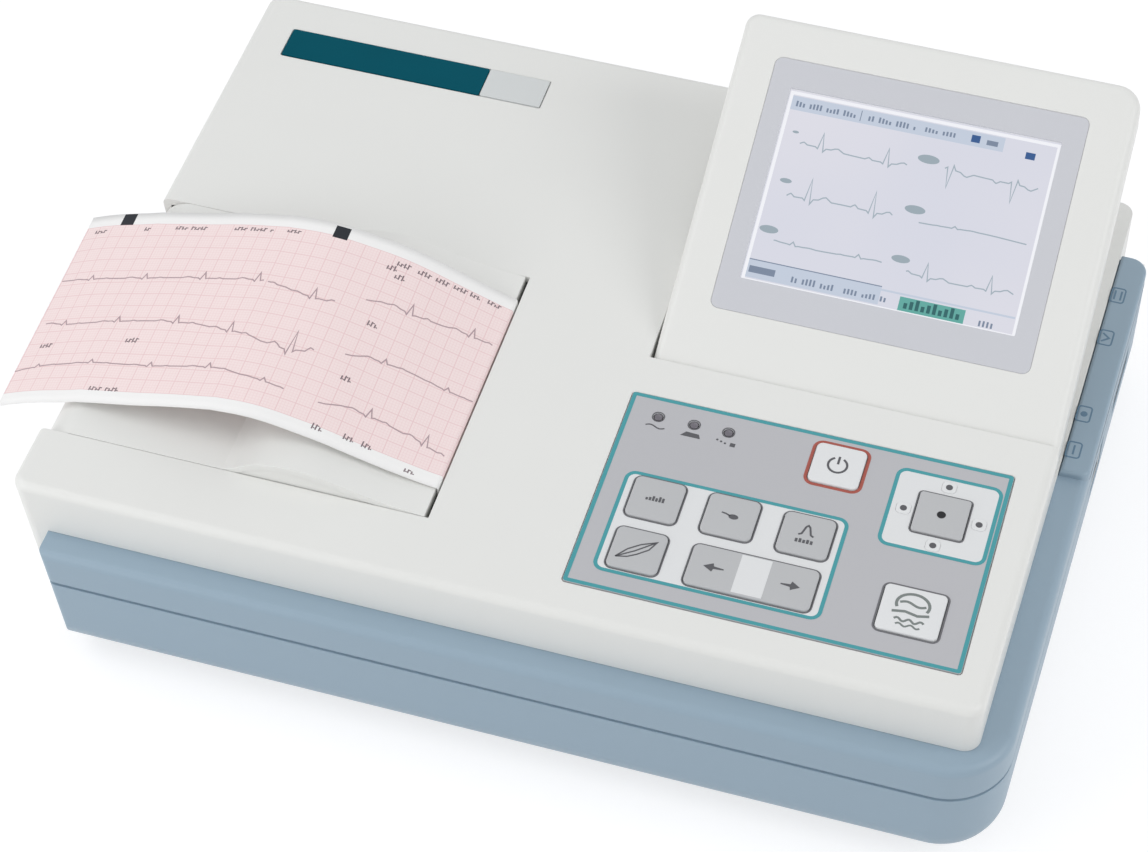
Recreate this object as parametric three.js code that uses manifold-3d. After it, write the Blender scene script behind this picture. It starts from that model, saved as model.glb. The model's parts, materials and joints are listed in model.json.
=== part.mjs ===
// Three-channel ECG machine: a desk-top recorder with a fold-up display, a key
// panel and a thermal printer for 80 mm folded paper under a hinged door. The
// upper body is white, and a blue case wraps its front and right-hand side.

import * as THREE from 'three';
import { mergeVertices } from 'three/addons/utils/BufferGeometryUtils.js';
import Module from 'manifold-3d';

const wasm = await Module();
wasm.setup();

// Driving dimensions in millimetres. X runs right and Y runs back from the
// white body's front left corner, and Z runs up from the table.
const footHeight = 3.5;
const baseHeight = 32.8; // lower blue shell
const beltHeight = 14.2; // upper blue shell
const whiteHeight = 19.5; // how far the white body stands out of the blue case
const frontLedge = 9; // how far the blue case stands in front of the body
const sideLedge = 9.5;
const coverWall = 2.8;
const caseWall = 2.5;
const paperWidth = 80;
const packLength = 70;
const packLeft = 24;
const headRoom = 30.9; // from the pack of paper to the slot
const middleWidth = 45.6; // between the slot and the key film
const filmWidth = 119.3;
const filmDepth = 76.2;
const filmY = 12.3;
const filmBorder = 13.7; // at the right of the film
const hingeSpace = 19.7; // from the film to the display's hinge axis
const paperThickness = 0.2;
const bayFront = 23.4; // printer bay, front and rear faces
const bayBack = 125.3;
const displayTilt = 24.12 * Math.PI / 180;
const displayLength = 120.5; // from its hinge axis
const displayThickness = 17;
const gap = 0.3; // clearance between pieces that touch
const overrun = 5; // how far a cut runs past the face it opens
const leastCorner = 0.4;
const leanShare = 0.1; // the left wall leans in by this share of its height

const slotX = packLeft + packLength + headRoom; // where the paper leaves the body
const filmX = slotX + middleWidth;
const bodyWidth = filmX + filmWidth + filmBorder;
const hingeY = filmY + filmDepth + hingeSpace;
const bodyDepth = hingeY + displayLength + gap;
const partingHeight = footHeight + baseHeight; // joint between the two blue shells
const ledgeHeight = partingHeight + beltHeight; // where the white body meets the blue case
const topHeight = ledgeHeight + whiteHeight;

// Shapes: prisms, rods and lofts that become solids, and the joins and cuts
const axisX = new THREE.Vector3(1, 0, 0);
const axisY = new THREE.Vector3(0, 1, 0);
const axisZ = new THREE.Vector3(0, 0, 1);
const turnTo = {
  x: new THREE.Matrix4().makeBasis(axisY, axisZ, axisX),
  y: new THREE.Matrix4().makeBasis(axisX, axisZ, axisY.clone().negate()),
  z: new THREE.Matrix4(),
};

function solid(geometry) {
  const bare = new THREE.BufferGeometry();
  bare.setAttribute('position', geometry.getAttribute('position').clone());
  if (geometry.index) bare.setIndex(geometry.index.clone());
  const merged = mergeVertices(bare);
  const index = merged.index.array;
  const faces = [];
  for (let i = 0; i < index.length; i += 3) {
    const [a, b, c] = index.slice(i, i + 3);
    if (a !== b && b !== c && c !== a) faces.push(a, b, c);
  }
  return new wasm.Manifold(new wasm.Mesh({
    numProp: 3,
    vertProperties: new Float32Array(merged.getAttribute('position').array),
    triVerts: new Uint32Array(faces),
  }));
}

// Extrude a shape along an axis. Across x the shape lies in y and z, across y
// it lies in x and z, and across z in x and y.
function prism(shape, from, to, axis = 'z', curveSegments = 4) {
  const geometry = new THREE.ExtrudeGeometry(shape, {
    depth: to - from, bevelEnabled: false, curveSegments,
  });
  geometry.translate(0, 0, axis === 'y' ? -to : from);
  geometry.applyMatrix4(turnTo[axis]);
  return solid(geometry);
}

function box(x0, x1, y0, y1, z0, z1) {
  const geometry = new THREE.BoxGeometry(x1 - x0, y1 - y0, z1 - z0);
  geometry.translate((x0 + x1) / 2, (y0 + y1) / 2, (z0 + z1) / 2);
  return solid(geometry);
}

function circle(u, v, radius) {
  return new THREE.Shape().absarc(u, v, radius, 0, 2 * Math.PI);
}

function rod(axis, u, v, radius, from, to, sides = 16) {
  return prism(circle(u, v, radius), from, to, axis, sides / 2);
}

function roundRect(u0, u1, v0, v1, radius) {
  const shape = new THREE.Shape();
  shape.absarc(u1 - radius, v0 + radius, radius, -Math.PI / 2, 0);
  shape.absarc(u1 - radius, v1 - radius, radius, 0, Math.PI / 2);
  shape.absarc(u0 + radius, v1 - radius, radius, Math.PI / 2, Math.PI);
  shape.absarc(u0 + radius, v0 + radius, radius, Math.PI, 3 * Math.PI / 2);
  shape.closePath();
  return shape;
}

function polygon(points) {
  return new THREE.Shape(points.map(([u, v]) => new THREE.Vector2(u, v)));
}

// One level of a loft: a rectangle whose corners, from front left and going
// round by the right, have their own radii.
const cornerSteps = 4;
function ring(x0, x1, y0, y1, radii, z, steps = cornerSteps) {
  const centres = [[x0, y0, 1, 1], [x1, y0, -1, 1], [x1, y1, -1, -1], [x0, y1, 1, -1]];
  return centres.flatMap(([x, y, sx, sy], corner) => {
    const radius = Math.max(radii[corner], leastCorner);
    const start = Math.PI + corner * Math.PI / 2;
    return Array.from({ length: steps + 1 }, (_, i) => {
      const angle = start + i / steps * Math.PI / 2;
      return new THREE.Vector3(
        x + sx * radius + radius * Math.cos(angle),
        y + sy * radius + radius * Math.sin(angle), z);
    });
  });
}

// Skin a stack of rings that all have as many points, and close both ends
function loft(rings) {
  const count = rings[0].length;
  const faces = [];
  for (let level = 0; level + 1 < rings.length; level++) {
    for (let i = 0; i < count; i++) {
      const a = level * count + i;
      const b = level * count + (i + 1) % count;
      faces.push(a, b, b + count, a, b + count, a + count);
    }
  }
  const last = (rings.length - 1) * count;
  for (let i = 1; i + 1 < count; i++) {
    faces.push(0, i + 1, i, last, last + i, last + i + 1);
  }
  const geometry = new THREE.BufferGeometry().setFromPoints(rings.flat());
  geometry.setIndex(faces);
  return solid(geometry);
}

const join = (first, ...others) => others.reduce((sum, next) => sum.add(next), first);
const cut = (first, ...tools) => tools.reduce((rest, tool) => rest.subtract(tool), first);

// The graph: the body stands in its own frame, and the display has a group at
// its hinge. Every named piece goes in through place().
const ecgMachine = new THREE.Group();
const body = new THREE.Group();
ecgMachine.add(body);

function finish(colour, roughness, metalness = 0) {
  return new THREE.MeshStandardMaterial({ color: colour, roughness, metalness });
}

function place(name, shape, material, group = body) {
  const { vertProperties, triVerts } = shape.getMesh();
  const geometry = new THREE.BufferGeometry();
  geometry.setAttribute('position', new THREE.BufferAttribute(vertProperties, 3));
  geometry.setIndex(new THREE.BufferAttribute(triVerts, 1));
  geometry.computeVertexNormals();
  const mesh = new THREE.Mesh(geometry, material);
  mesh.name = name;
  group.add(mesh);
  return mesh;
}

const whiteShell = finish(0xdddcd8, 0.5);
const blueShell = finish(0x9db2c4, 0.5);
const grayFilm = finish(0xb9b9bd, 0.55);
const keyGray = finish(0xb8b9bb, 0.5);
const keyWhite = finish(0xdedfe0, 0.5);
const tealPlate = finish(0x0e6a78, 0.35);
const paleFilm = finish(0xcfd3d2, 0.4);
const bezelGray = finish(0xc9c9d1, 0.5);
const screenGlass = finish(0xdfe0ea, 0.15);
const darkPlastic = finish(0x2b2d30, 0.6);
const trayGray = finish(0x8f9498, 0.6);
const gearNylon = finish(0xe6e2d4, 0.5);
const rubberBlack = finish(0x1e1f20, 0.85);
const steel = finish(0xb4b7ba, 0.3, 1);
const aluminium = finish(0xc3c6c9, 0.4, 1);
const boardGreen = finish(0x1f6b45, 0.6);
const paperPink = finish(0xf6dfe1, 0.8);
const clearLens = finish(0x6f8f7c, 0.2);

// Outer forms: the white body with its leaning left wall, and the blue case
// that wraps it, each as a loft that can be drawn again further in.
const bottomRound = 14;
const topRound = 3;
const whiteCorner = 8;
const rimRound = 3;
const caseCorner = 23;
const roundSteps = 3;
const quarterTurns = Array.from({ length: roundSteps + 1 },
  (_, i) => i / roundSteps * Math.PI / 2);
const lean = (z) => leanShare * Math.max(topHeight - topRound - z, 0);

function envelope(x1, y0, corners, bottomZ, topZ, lowRound, highRound, inset) {
  const low = lowRound - inset;
  const high = Math.max(highRound - inset, leastCorner);
  const level = (edge, z) => {
    const inward = inset + edge;
    return ring(inward + lean(z), x1 - inward, y0 + inward, bodyDepth - inward,
      corners.map((radius) => radius - inward), z);
  };
  const bottom = quarterTurns.map((turn) =>
    level(low * (1 - Math.sin(turn)), bottomZ + inset + low * (1 - Math.cos(turn))));
  const top = quarterTurns.map((turn) =>
    level(high * (1 - Math.cos(turn)), topZ - inset - high * (1 - Math.sin(turn))));
  return loft([...bottom, ...top]);
}

const whiteForm = (inset) => envelope(bodyWidth, 0,
  [whiteCorner, whiteCorner, whiteCorner, whiteCorner],
  footHeight, topHeight, bottomRound, topRound, inset);
const caseForm = (inset) => envelope(bodyWidth + sideLedge, -frontLedge,
  [whiteCorner, caseCorner, whiteCorner, whiteCorner],
  footHeight, ledgeHeight, bottomRound, rimRound, inset);

// Where the case is blue: from just behind the left end, round the front right
// corner, to a rounded end short of the rear.
const blueStart = 8.4;
const blueEndGap = 24; // from its rear end to the body's
const blueEndY = bodyDepth - blueEndGap;
const blueEndCorner = 6;
function blueBlock(grow, z0, z1) {
  const level = (z) => ring(blueStart + lean(z) - grow, bodyWidth + sideLedge + grow,
    -frontLedge - grow, blueEndY + grow,
    [leastCorner, caseCorner + grow, blueEndCorner + grow, leastCorner], z);
  return loft([level(z0), level(z1)]);
}

// Room for the display: a trough round its hinge and the deck behind it, open
// to the right and the rear. The cover's lip stops short of the rounded edge.
const hingeZ = topHeight - displayThickness / 2;
const displayInset = 1.5; // its left side, past the film's
const displayLeft = filmX + displayInset;
const displaySideGap = 0.8;
const displayRun = 0.5; // running clearance under the display
const lipReach = 4.5; // the cover's lip stops this far in front of the hinge
const lipY = hingeY - lipReach;
function displayRoom(grow) {
  const reach = displayThickness / 2 + displayRun + grow;
  const left = displayLeft - displaySideGap - grow;
  const right = bodyWidth + overrun + grow;
  return join(
    rod('x', hingeY, hingeZ, reach, left, right, 20),
    box(left, right, hingeY, bodyDepth + overrun, hingeZ - reach, topHeight + overrun),
    box(left, right, lipY - grow, hingeY + gap, hingeZ, topHeight + overrun));
}
const deckZ = hingeZ - displayThickness / 2 - displayRun;
const deckUnder = ledgeHeight + gap;

// Key panel: a gray film let into the cover, with a hole for each key. Places
// are the centres' shares of the film's width and depth.
const filmThickness = 0.8;
const filmProud = 0.2;
const filmCorner = 1;
const keyWidth = 15.6;
const keyDepth = 15.4;
const keyCorner = 2;
const keyGap = 0.35;
const printKeyWidth = 18.6;
const printKeyDepth = 16.8;
const rockerWidth = 38.2;
const navMark = 4.4; // side of each small direction key
const navReach = 11.5; // from the menu key's centre to theirs
const menuShares = [0.85, 0.719];
const keys = [
  { name: 'lead_key', placeShares: [0.153, 0.478], colour: keyGray },
  { name: 'gain_key', placeShares: [0.347, 0.478], colour: keyGray },
  { name: 'filter_key', placeShares: [0.542, 0.472], colour: keyGray },
  { name: 'speed_key', placeShares: [0.153, 0.215], colour: keyGray },
  { name: 'power_key', placeShares: [0.564, 0.848], colour: keyWhite },
  { name: 'print_key', placeShares: [0.845, 0.228], colour: keyWhite, width: printKeyWidth,
    depth: printKeyDepth },
  { name: 'menu_key', placeShares: menuShares, colour: keyGray },
  { name: 'arrow_rocker', placeShares: [0.445, 0.215], colour: keyGray, width: rockerWidth,
    rocks: true },
];
for (const [name, right, back] of [['up', 0, 1], ['down', 0, -1], ['left', -1, 0], ['right', 1, 0]]) {
  keys.push({ name: `${name}_key`, placeShares: menuShares, shift: [right * navReach, back * navReach],
    colour: keyWhite, width: navMark, depth: navMark });
}
for (const key of keys) {
  key.width ??= keyWidth;
  key.depth ??= keyDepth;
  key.shift ??= [0, 0];
  key.x = filmX + key.placeShares[0] * filmWidth + key.shift[0];
  key.y = filmY + key.placeShares[1] * filmDepth + key.shift[1];
}
const keyOutline = (key, grow) => roundRect(
  key.x - key.width / 2 - grow, key.x + key.width / 2 + grow,
  key.y - key.depth / 2 - grow, key.y + key.depth / 2 + grow, keyCorner + grow);

// Three status lights: one comb moulding whose round pipes come up through the
// cover and the film.
const pipeRadius = 1.3;
const pipePlaceShares = [0.085, 0.18, 0.271];
const pipeRowShare = 0.897;
const pipes = pipePlaceShares.map((share) => [filmX + share * filmWidth,
  filmY + pipeRowShare * filmDepth]);

const plateUnder = topHeight - coverWall;
const filmTop = topHeight + filmProud;
const filmSeat = filmTop - filmThickness - gap;

// Name plate and small plate near the rear left corner, let into the cover
const plateX = 13.7;
const plateBack = 16.1; // from the body's rear edge
const plateWidth = 70.4;
const plateDepth = 12.9;
const plateY = bodyDepth - plateBack - plateDepth;
const plateThickness = 0.8;
const smallPlateWidth = 21;
const plateProud = 0.3;

// Printer bay and the door's hinge, whose rounded nose forms the body's edge
const doorNose = 11;
const doorAxisX = doorNose;
const doorAxisZ = topHeight - doorNose;
const bayWallDrop = 20; // the left wall stops this far below the top, under the nose
const bayWallTop = topHeight - bayWallDrop;
const slotClearance = 0.6;
const slotEdge = slotX + slotClearance;

// Fastening: four screws come up from the base into posts under the cover
const screwShank = 1.5;
const screwHead = 3;
const screwHeadHeight = 3;
const screwHeadSeat = 12; // above the base's underside
const screwEndGap = 1; // its end stays this far below the ledge
const screwLength = ledgeHeight - footHeight - screwHeadSeat - screwEndGap;
const bossRadius = 4.5;
const postRadius = 4;
const screwLeft = 26;
const screwRightInset = 7.5;
const screwRight = bodyWidth - screwRightInset;
const screwFront = 12;
const screwRearInset = 37;
const screwRear = bodyDepth - screwRearInset;
const screwPlaces = [
  ['front_left', screwLeft, screwFront, plateUnder],
  ['front_right', screwRight, screwFront, plateUnder],
  ['rear_left', screwLeft, screwRear, plateUnder],
  ['rear_right', screwRight, screwRear, deckUnder],
];

// Mains inlet in the rear wall
const inletX = 60;
const inletZ = 32;
const inletWidth = 28;
const inletHeight = 21;
const inletFlange = 6; // what holds it behind the wall, past each side

// Display hinges: a bracket under the deck carries the pin, beside a leaf
// inside the display.
const bracketWidth = 8;
const bracketShares = [0.175, 0.753]; // left sides, across the display
const bracketLefts = bracketShares.map((share) =>
  displayLeft + share * (bodyWidth - displayLeft));
const armHalf = 3;
const footPlate = 2;
const bracketSlack = 0.6;

// Top cover: one deep white moulding with the left and rear walls
const coverBlank = cut(whiteForm(0), displayRoom(0));
const coverHollow = cut(whiteForm(coverWall), displayRoom(coverWall));
let topCover = cut(coverBlank, coverHollow,
  blueBlock(gap, footHeight - overrun, ledgeHeight + gap),
  box(-overrun, slotEdge, bayFront, bayBack, bayWallTop, topHeight + overrun),
  prism(roundRect(filmX - gap, filmX + filmWidth + gap, filmY - gap,
    filmY + filmDepth + gap, filmCorner), filmSeat, topHeight + overrun, 'z', 1),
  prism(roundRect(plateX - gap, plateX + plateWidth + smallPlateWidth + 2 * gap, plateY - gap,
    plateY + plateDepth + gap, leastCorner),
  topHeight + plateProud - plateThickness - gap, topHeight + overrun, 'z', 1),
  box(inletX - inletWidth / 2 - gap, inletX + inletWidth / 2 + gap, bodyDepth - coverWall - overrun,
    bodyDepth + overrun, inletZ - inletHeight / 2 - gap, inletZ + inletHeight / 2 + gap));
for (const key of keys) {
  topCover = cut(topCover, prism(keyOutline(key, keyGap), plateUnder - overrun, topHeight, 'z', 1));
}
for (const [x, y] of pipes) {
  topCover = cut(topCover, rod('z', x, y, pipeRadius + gap, plateUnder - overrun, topHeight, 12));
}
for (const left of bracketLefts) {
  topCover = cut(topCover, box(left - bracketSlack, left + bracketWidth + bracketSlack,
    hingeY - armHalf - bracketSlack, hingeY + armHalf + bracketSlack,
    deckUnder - overrun, hingeZ));
}
for (const [, x, y, top] of screwPlaces) {
  const post = cut(rod('z', x, y, postRadius, partingHeight + gap, top + gap, 12),
    rod('z', x, y, screwShank + gap, partingHeight - overrun,
      footHeight + screwHeadSeat + screwLength + gap, 12));
  topCover = join(topCover, post);
}
place('top_cover', topCover, whiteShell);

// Blue case: belt with the ledge and the raised connector panel above the
// parting line, and the base with its floor below it.
const blueForm = caseForm(0).intersect(blueBlock(0, footHeight, ledgeHeight));
const blueHollow = caseForm(caseWall).intersect(blueBlock(-caseWall, footHeight, ledgeHeight));
const insideX = bodyWidth - coverWall - gap;
const insideY = coverWall + gap;
const panelLength = 96;
const panelStart = blueEndY - panelLength;
const panelRise = 2.5;
const panelRound = 1.2;
const panelLevel = (z, inset) => ring(bodyWidth + gap, bodyWidth + sideLedge - inset,
  panelStart + inset, blueEndY - inset,
  [leastCorner, blueEndCorner / 2, blueEndCorner, leastCorner], z);
const connectorPanel = loft([
  panelLevel(ledgeHeight - caseWall, 0),
  panelLevel(ledgeHeight + panelRise - panelRound, 0),
  panelLevel(ledgeHeight + panelRise - panelRound / 4, panelRound / 4),
  panelLevel(ledgeHeight + panelRise, panelRound),
]);
const beltInside = box(-overrun, insideX, insideY, bodyDepth, footHeight, ledgeHeight + overrun);
const sideBelt = cut(join(
  cut(blueForm, blueHollow, box(-overrun, bodyWidth + sideLedge + overrun, -frontLedge - overrun,
    bodyDepth, 0, partingHeight + gap / 2)),
  connectorPanel), beltInside);
place('side_belt', sideBelt, blueShell);

const floorThickness = 3;
const baseLip = 14; // the low wall inside the white skirts
const floorTop = footHeight + floorThickness;
const footLeft = 42;
const footRightInset = 27.5;
const footRight = bodyWidth - footRightInset;
const footFront = 24;
const footRearInset = 51;
const footRear = bodyDepth - footRearInset;
const feet = [['front_left', footLeft, footFront], ['front_right', footRight, footFront],
  ['rear_left', footLeft, footRear], ['rear_right', footRight, footRear]];
const footRadius = 7;
const footSeat = 1;
const footSides = 12;
const batteryInset = 39.5; // from the body's right side
const batteryWidth = 80;
const batteryDepth = 54;
const batteryX1 = bodyWidth - batteryInset;
const batteryX0 = batteryX1 - batteryWidth;
const batteryY0 = 102;
const batteryY1 = batteryY0 + batteryDepth;
const batteryHeight = 21;
const batteryLip = 3;
const batteryDoorPlate = 1.5;
const batterySkirt = 1;
const batteryCorner = 4;
const fingerRadius = 9;
const fingerWidth = 20;

const patientInset = 33; // socket centres along the right wall, from its rear end
const patientY = blueEndY - patientInset;
const patientWidth = 25;
const patientHeight = 9.4;
const networkInset = 71;
const networkY = blueEndY - networkInset;
const networkWidth = 16;
const networkHeight = 13.4;
const socketDrop = 14.4; // their undersides below the parting line
const socketBottom = partingHeight - socketDrop;
const sideFace = bodyWidth + sideLedge;

let baseShell = cut(blueForm,
  cut(blueHollow, box(-overrun, sideFace, -frontLedge, bodyDepth, 0, floorTop)),
  box(-overrun, sideFace + overrun, -frontLedge - overrun, bodyDepth,
    partingHeight - gap / 2, topHeight),
  box(-overrun, insideX, insideY, bodyDepth, footHeight + baseLip, topHeight));
for (const [, x, y] of screwPlaces) {
  baseShell = join(baseShell, rod('z', x, y, bossRadius, floorTop - gap, partingHeight - gap, 12));
  baseShell = cut(baseShell,
    rod('z', x, y, screwHead + gap, footHeight - overrun, footHeight + screwHeadSeat, 12),
    rod('z', x, y, screwShank + gap, footHeight, partingHeight + overrun, 12));
}
for (const [, x, y] of feet) {
  baseShell = cut(baseShell, rod('z', x, y, footRadius + gap, 0, footHeight + footSeat,
    footSides));
}
baseShell = cut(baseShell,
  box(batteryX0 - gap, batteryX1 + gap, batteryY0 - gap, batteryY1 + gap, 0, floorTop + overrun),
  box(batteryX0 - batteryLip - gap, batteryX1 + batteryLip + gap, batteryY0 - batteryLip - gap,
    batteryY1 + batteryLip + gap, 0, footHeight + batteryDoorPlate + gap),
  box(sideFace - caseWall - overrun, sideFace + overrun, patientY - patientWidth / 2 - gap,
    patientY + patientWidth / 2 + gap, socketBottom + patientHeight / 4,
    socketBottom + 5 * patientHeight / 4 + 2 * gap),
  box(sideFace - caseWall - overrun, sideFace + overrun, networkY - networkWidth / 2 - gap,
    networkY + networkWidth / 2 + gap, socketBottom - gap, socketBottom + networkHeight + gap));
// standoffs for the main board and the power supply
const boardDrop = 1.9; // underside of the main board below the sockets
const boardZ = socketBottom - boardDrop;
const boardThickness = 1.6;
const standoffRadius = 3;
const supplyZ = 11;
const boardWidth = 146;
const boardOverhang = 2.5; // over the right-hand ledge
const boardX1 = bodyWidth + boardOverhang;
const boardX0 = boardX1 - boardWidth;
const boardY0 = 5;
const boardY1 = 94;
const sideBoardWidth = 34;
const sideBoardX0 = boardX1 - sideBoardWidth;
const sideBoardInset = 21;
const sideBoardY1 = blueEndY - sideBoardInset;
const supplyX0 = 84;
const supplySideGap = 8; // to the battery
const supplyX1 = batteryX0 - supplySideGap;
const supplyFrontGap = 8.7; // behind the printer bay
const supplyDepth = 52;
const supplyY0 = bayBack + supplyFrontGap;
const supplyY1 = supplyY0 + supplyDepth;
const standoffInset = 6;
const standoffs = [
  [boardX0, boardY0, 1, 1, boardZ], [boardX1, boardY0, -1, 3, boardZ],
  [boardX0, boardY1, 1, -1, boardZ], [boardX1, sideBoardY1, -1, -1, boardZ],
  [supplyX0, supplyY0, 1, 1, supplyZ], [supplyX1, supplyY0, -1, 1, supplyZ],
  [supplyX0, supplyY1, 1, -1, supplyZ], [supplyX1, supplyY1, -1, -1, supplyZ],
];
for (const [x, y, sx, sy, top] of standoffs) {
  baseShell = join(baseShell, rod('z', x + sx * standoffInset, y + sy * standoffInset,
    standoffRadius, floorTop - gap, top - gap, 8));
}
place('base_shell', baseShell, blueShell);

for (const [where, x, y] of screwPlaces) {
  const seat = footHeight + screwHeadSeat - gap;
  place(`case_screw_${where}`, join(
    rod('z', x, y, screwHead, seat - screwHeadHeight, seat, 12),
    rod('z', x, y, screwShank, seat - gap, seat + screwLength, 10)), steel);
}

// Rubber feet: turned pads with a rounded lower edge, seated in the floor
const footTurn = 1.2;
for (const [where, x, y] of feet) {
  const top = footHeight + footSeat - gap;
  const profile = [[0, 0], [footRadius - footTurn, 0], [footRadius - footTurn / 3, footTurn / 3],
    [footRadius, footTurn], [footRadius, top], [0, top]];
  const pad = new THREE.LatheGeometry(profile.map(([r, z]) => new THREE.Vector2(r, z)), footSides);
  pad.rotateX(Math.PI / 2);
  pad.translate(x, y, 0);
  place(`foot_${where}`, solid(pad), rubberBlack);
}

// Battery pack, standing on its own door in the floor
const batteryDoor = cut(join(
  box(batteryX0 - batteryLip, batteryX1 + batteryLip, batteryY0 - batteryLip,
    batteryY1 + batteryLip, footHeight, footHeight + batteryDoorPlate),
  box(batteryX0, batteryX1, batteryY0, batteryY1, footHeight, floorTop - batterySkirt)),
rod('x', batteryY0 - batteryLip, footHeight - fingerRadius + batterySkirt, fingerRadius,
  (batteryX0 + batteryX1 - fingerWidth) / 2, (batteryX0 + batteryX1 + fingerWidth) / 2, 24));
place('battery_door', batteryDoor, blueShell);
place('battery_pack', prism(roundRect(batteryX0 + gap, batteryX1 - gap, batteryY0 + gap,
  batteryY1 - gap, batteryCorner), floorTop - batterySkirt + gap,
floorTop + batteryHeight, 'z', 2), darkPlastic);

// Key film, with the keys, the light comb and the key board under it
let keyFilm = prism(roundRect(filmX, filmX + filmWidth, filmY, filmY + filmDepth, filmCorner),
  filmTop - filmThickness, filmTop, 'z', 1);
for (const key of keys) {
  keyFilm = cut(keyFilm, prism(keyOutline(key, keyGap), filmSeat, filmTop + overrun, 'z', 1));
}
for (const [x, y] of pipes) {
  keyFilm = cut(keyFilm, rod('z', x, y, pipeRadius + gap, filmSeat, filmTop + overrun, 12));
}
place('key_film', keyFilm, grayFilm);

const keyProud = 0.8;
const keyTop = filmTop + keyProud;
const flangeWidth = 0.55;
const flangeThickness = 1.4;
const capEdge = 0.5;
const capSteps = 2;
const stemRadius = 1.8;
const keyBoardDrop = 6.4;
const keyBoardTop = topHeight - keyBoardDrop;
const keyStroke = 1.5; // room under each stem
const rockerDrop = 1; // the rocker's flange hangs lower, so that its ends can rise
for (const key of keys) {
  const flangeTop = plateUnder - gap - (key.rocks ? rockerDrop : 0);
  const stemEnd = keyBoardTop + (key.rocks ? gap : keyStroke);
  const cap = loft([
    [0, flangeTop - gap], [0, keyTop - capEdge], [capEdge, keyTop],
  ].map(([inset, z]) => ring(key.x - key.width / 2 + inset, key.x + key.width / 2 - inset,
    key.y - key.depth / 2 + inset, key.y + key.depth / 2 - inset,
    Array(4).fill(Math.min(keyCorner, key.depth / 3) - inset), z, capSteps)));
  const flange = prism(keyOutline(key, flangeWidth), flangeTop - flangeThickness, flangeTop, 'z', 1);
  const stem = rod('z', key.x, key.y, stemRadius, stemEnd, flangeTop - gap, 6);
  place(key.name, join(cap, flange, stem), key.colour);
}

const combThickness = 1.5;
const combTop = plateUnder - gap;
let comb = box(pipes[0][0] - pipeRadius, pipes[2][0] + pipeRadius, pipes[0][1] - pipeRadius,
  pipes[0][1] + pipeRadius, combTop - combThickness, combTop);
for (const [x, y] of pipes) comb = join(comb, rod('z', x, y, pipeRadius, combTop - gap, filmTop, 12));
place('light_comb', comb, clearLens);

const keyBoardBorder = 1.5;
const keyBoardThickness = 1.6;
place('key_board', box(filmX - keyBoardBorder, filmX + filmWidth + keyBoardBorder,
  filmY - keyBoardBorder, filmY + filmDepth + keyBoardBorder,
  keyBoardTop - keyBoardThickness, keyBoardTop), boardGreen);

const plateRise = topHeight + plateProud;
place('name_plate', box(plateX, plateX + plateWidth, plateY, plateY + plateDepth,
  plateRise - plateThickness, plateRise), tealPlate);
place('small_plate', box(plateX + plateWidth + gap, plateX + plateWidth + gap + smallPlateWidth,
  plateY, plateY + plateDepth, plateRise - plateThickness, plateRise), paleFilm);

// Printer door: a curved plate that ends in the nose at its hinge. It rises in
// a hump before the slot, and its skirts and ribs hang below it.
const doorThickness = 2.5;
const doorEnd = slotX - paperThickness - 2 * gap;
const noseStart = 232 * Math.PI / 180;
const noseSteps = 8;
const humpStart = 59.5;
const humpHeight = 7.3;
const humpShares = [[0, 0], [0.05, 0.16], [0.1, 0.42], [0.19, 0.82], [0.33, 1], [0.45, 0.93],
  [0.62, 0.58], [0.78, 0.26], [0.92, 0.07], [1, 0]];
const platenRadius = 7;
const platenX = doorEnd - platenRadius;
const platenDrop = 10.5; // its axis below the top
const platenZ = topHeight - platenDrop;
const doorFlange = 4;
const doorLength = doorEnd - humpStart;
const humpCurve = new THREE.SplineCurve(humpShares.map(([along, up]) =>
  new THREE.Vector2(humpStart + along * doorLength, topHeight + up * humpHeight)));
const humpSteps = 14;
function doorTop(drop) {
  const nose = Array.from({ length: noseSteps + 1 }, (_, i) => {
    const angle = noseStart + (Math.PI / 2 - noseStart) * i / noseSteps;
    return [doorAxisX + (doorNose - drop) * Math.cos(angle),
      doorAxisZ + (doorNose - drop) * Math.sin(angle)];
  });
  const hump = humpCurve.getPoints(humpSteps).map((point) => [point.x, point.y - drop]);
  return [...nose, ...hump];
}
const doorUnder = doorTop(doorThickness).reverse();
const doorPlate = prism(polygon([...doorTop(0),
  [doorEnd, topHeight - doorFlange], [doorEnd - doorThickness, topHeight - doorFlange],
  [doorEnd - doorThickness, topHeight - doorThickness], ...doorUnder.slice(1)]),
bayFront + gap, bayBack - gap, 'y');
const skirtDepth = 8;
const skirtThickness = 2.2;
const skirtProfile = polygon([...doorTop(doorThickness / 2).slice(noseSteps),
  [doorEnd - doorThickness / 2, topHeight - skirtDepth], [doorAxisX, topHeight - skirtDepth]]);
const paperFront = (bayFront + bayBack - paperWidth) / 2;
const paperBack = paperFront + paperWidth;
const rubberOver = 1; // rubber past each edge of the paper
const ribThickness = 2.6;
const shaftRadius = 2.5;
const bushRadius = 4;
const bearingRadius = 6;
const armRadius = 8;
const pinRadius = 2;
const ribFronts = [paperFront - rubberOver - gap - ribThickness, paperBack + rubberOver + gap];
let door = doorPlate;
for (const from of [bayFront + gap, bayBack - gap - skirtThickness]) {
  door = join(door, prism(skirtProfile, from, from + skirtThickness, 'y'));
}
for (const from of ribFronts) {
  const rib = join(prism(skirtProfile, from, from + ribThickness, 'y'),
    rod('y', platenX, platenZ, bearingRadius, from, from + ribThickness),
    rod('y', doorAxisX, doorAxisZ, armRadius, from, from + ribThickness));
  door = join(door, rib);
}
door = cut(door,
  rod('y', doorAxisX, doorAxisZ, pinRadius + gap, bayFront - overrun, bayBack + overrun),
  rod('y', platenX, platenZ, bushRadius + gap, ribFronts[0] - gap, ribFronts[1] + ribThickness + gap));
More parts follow.
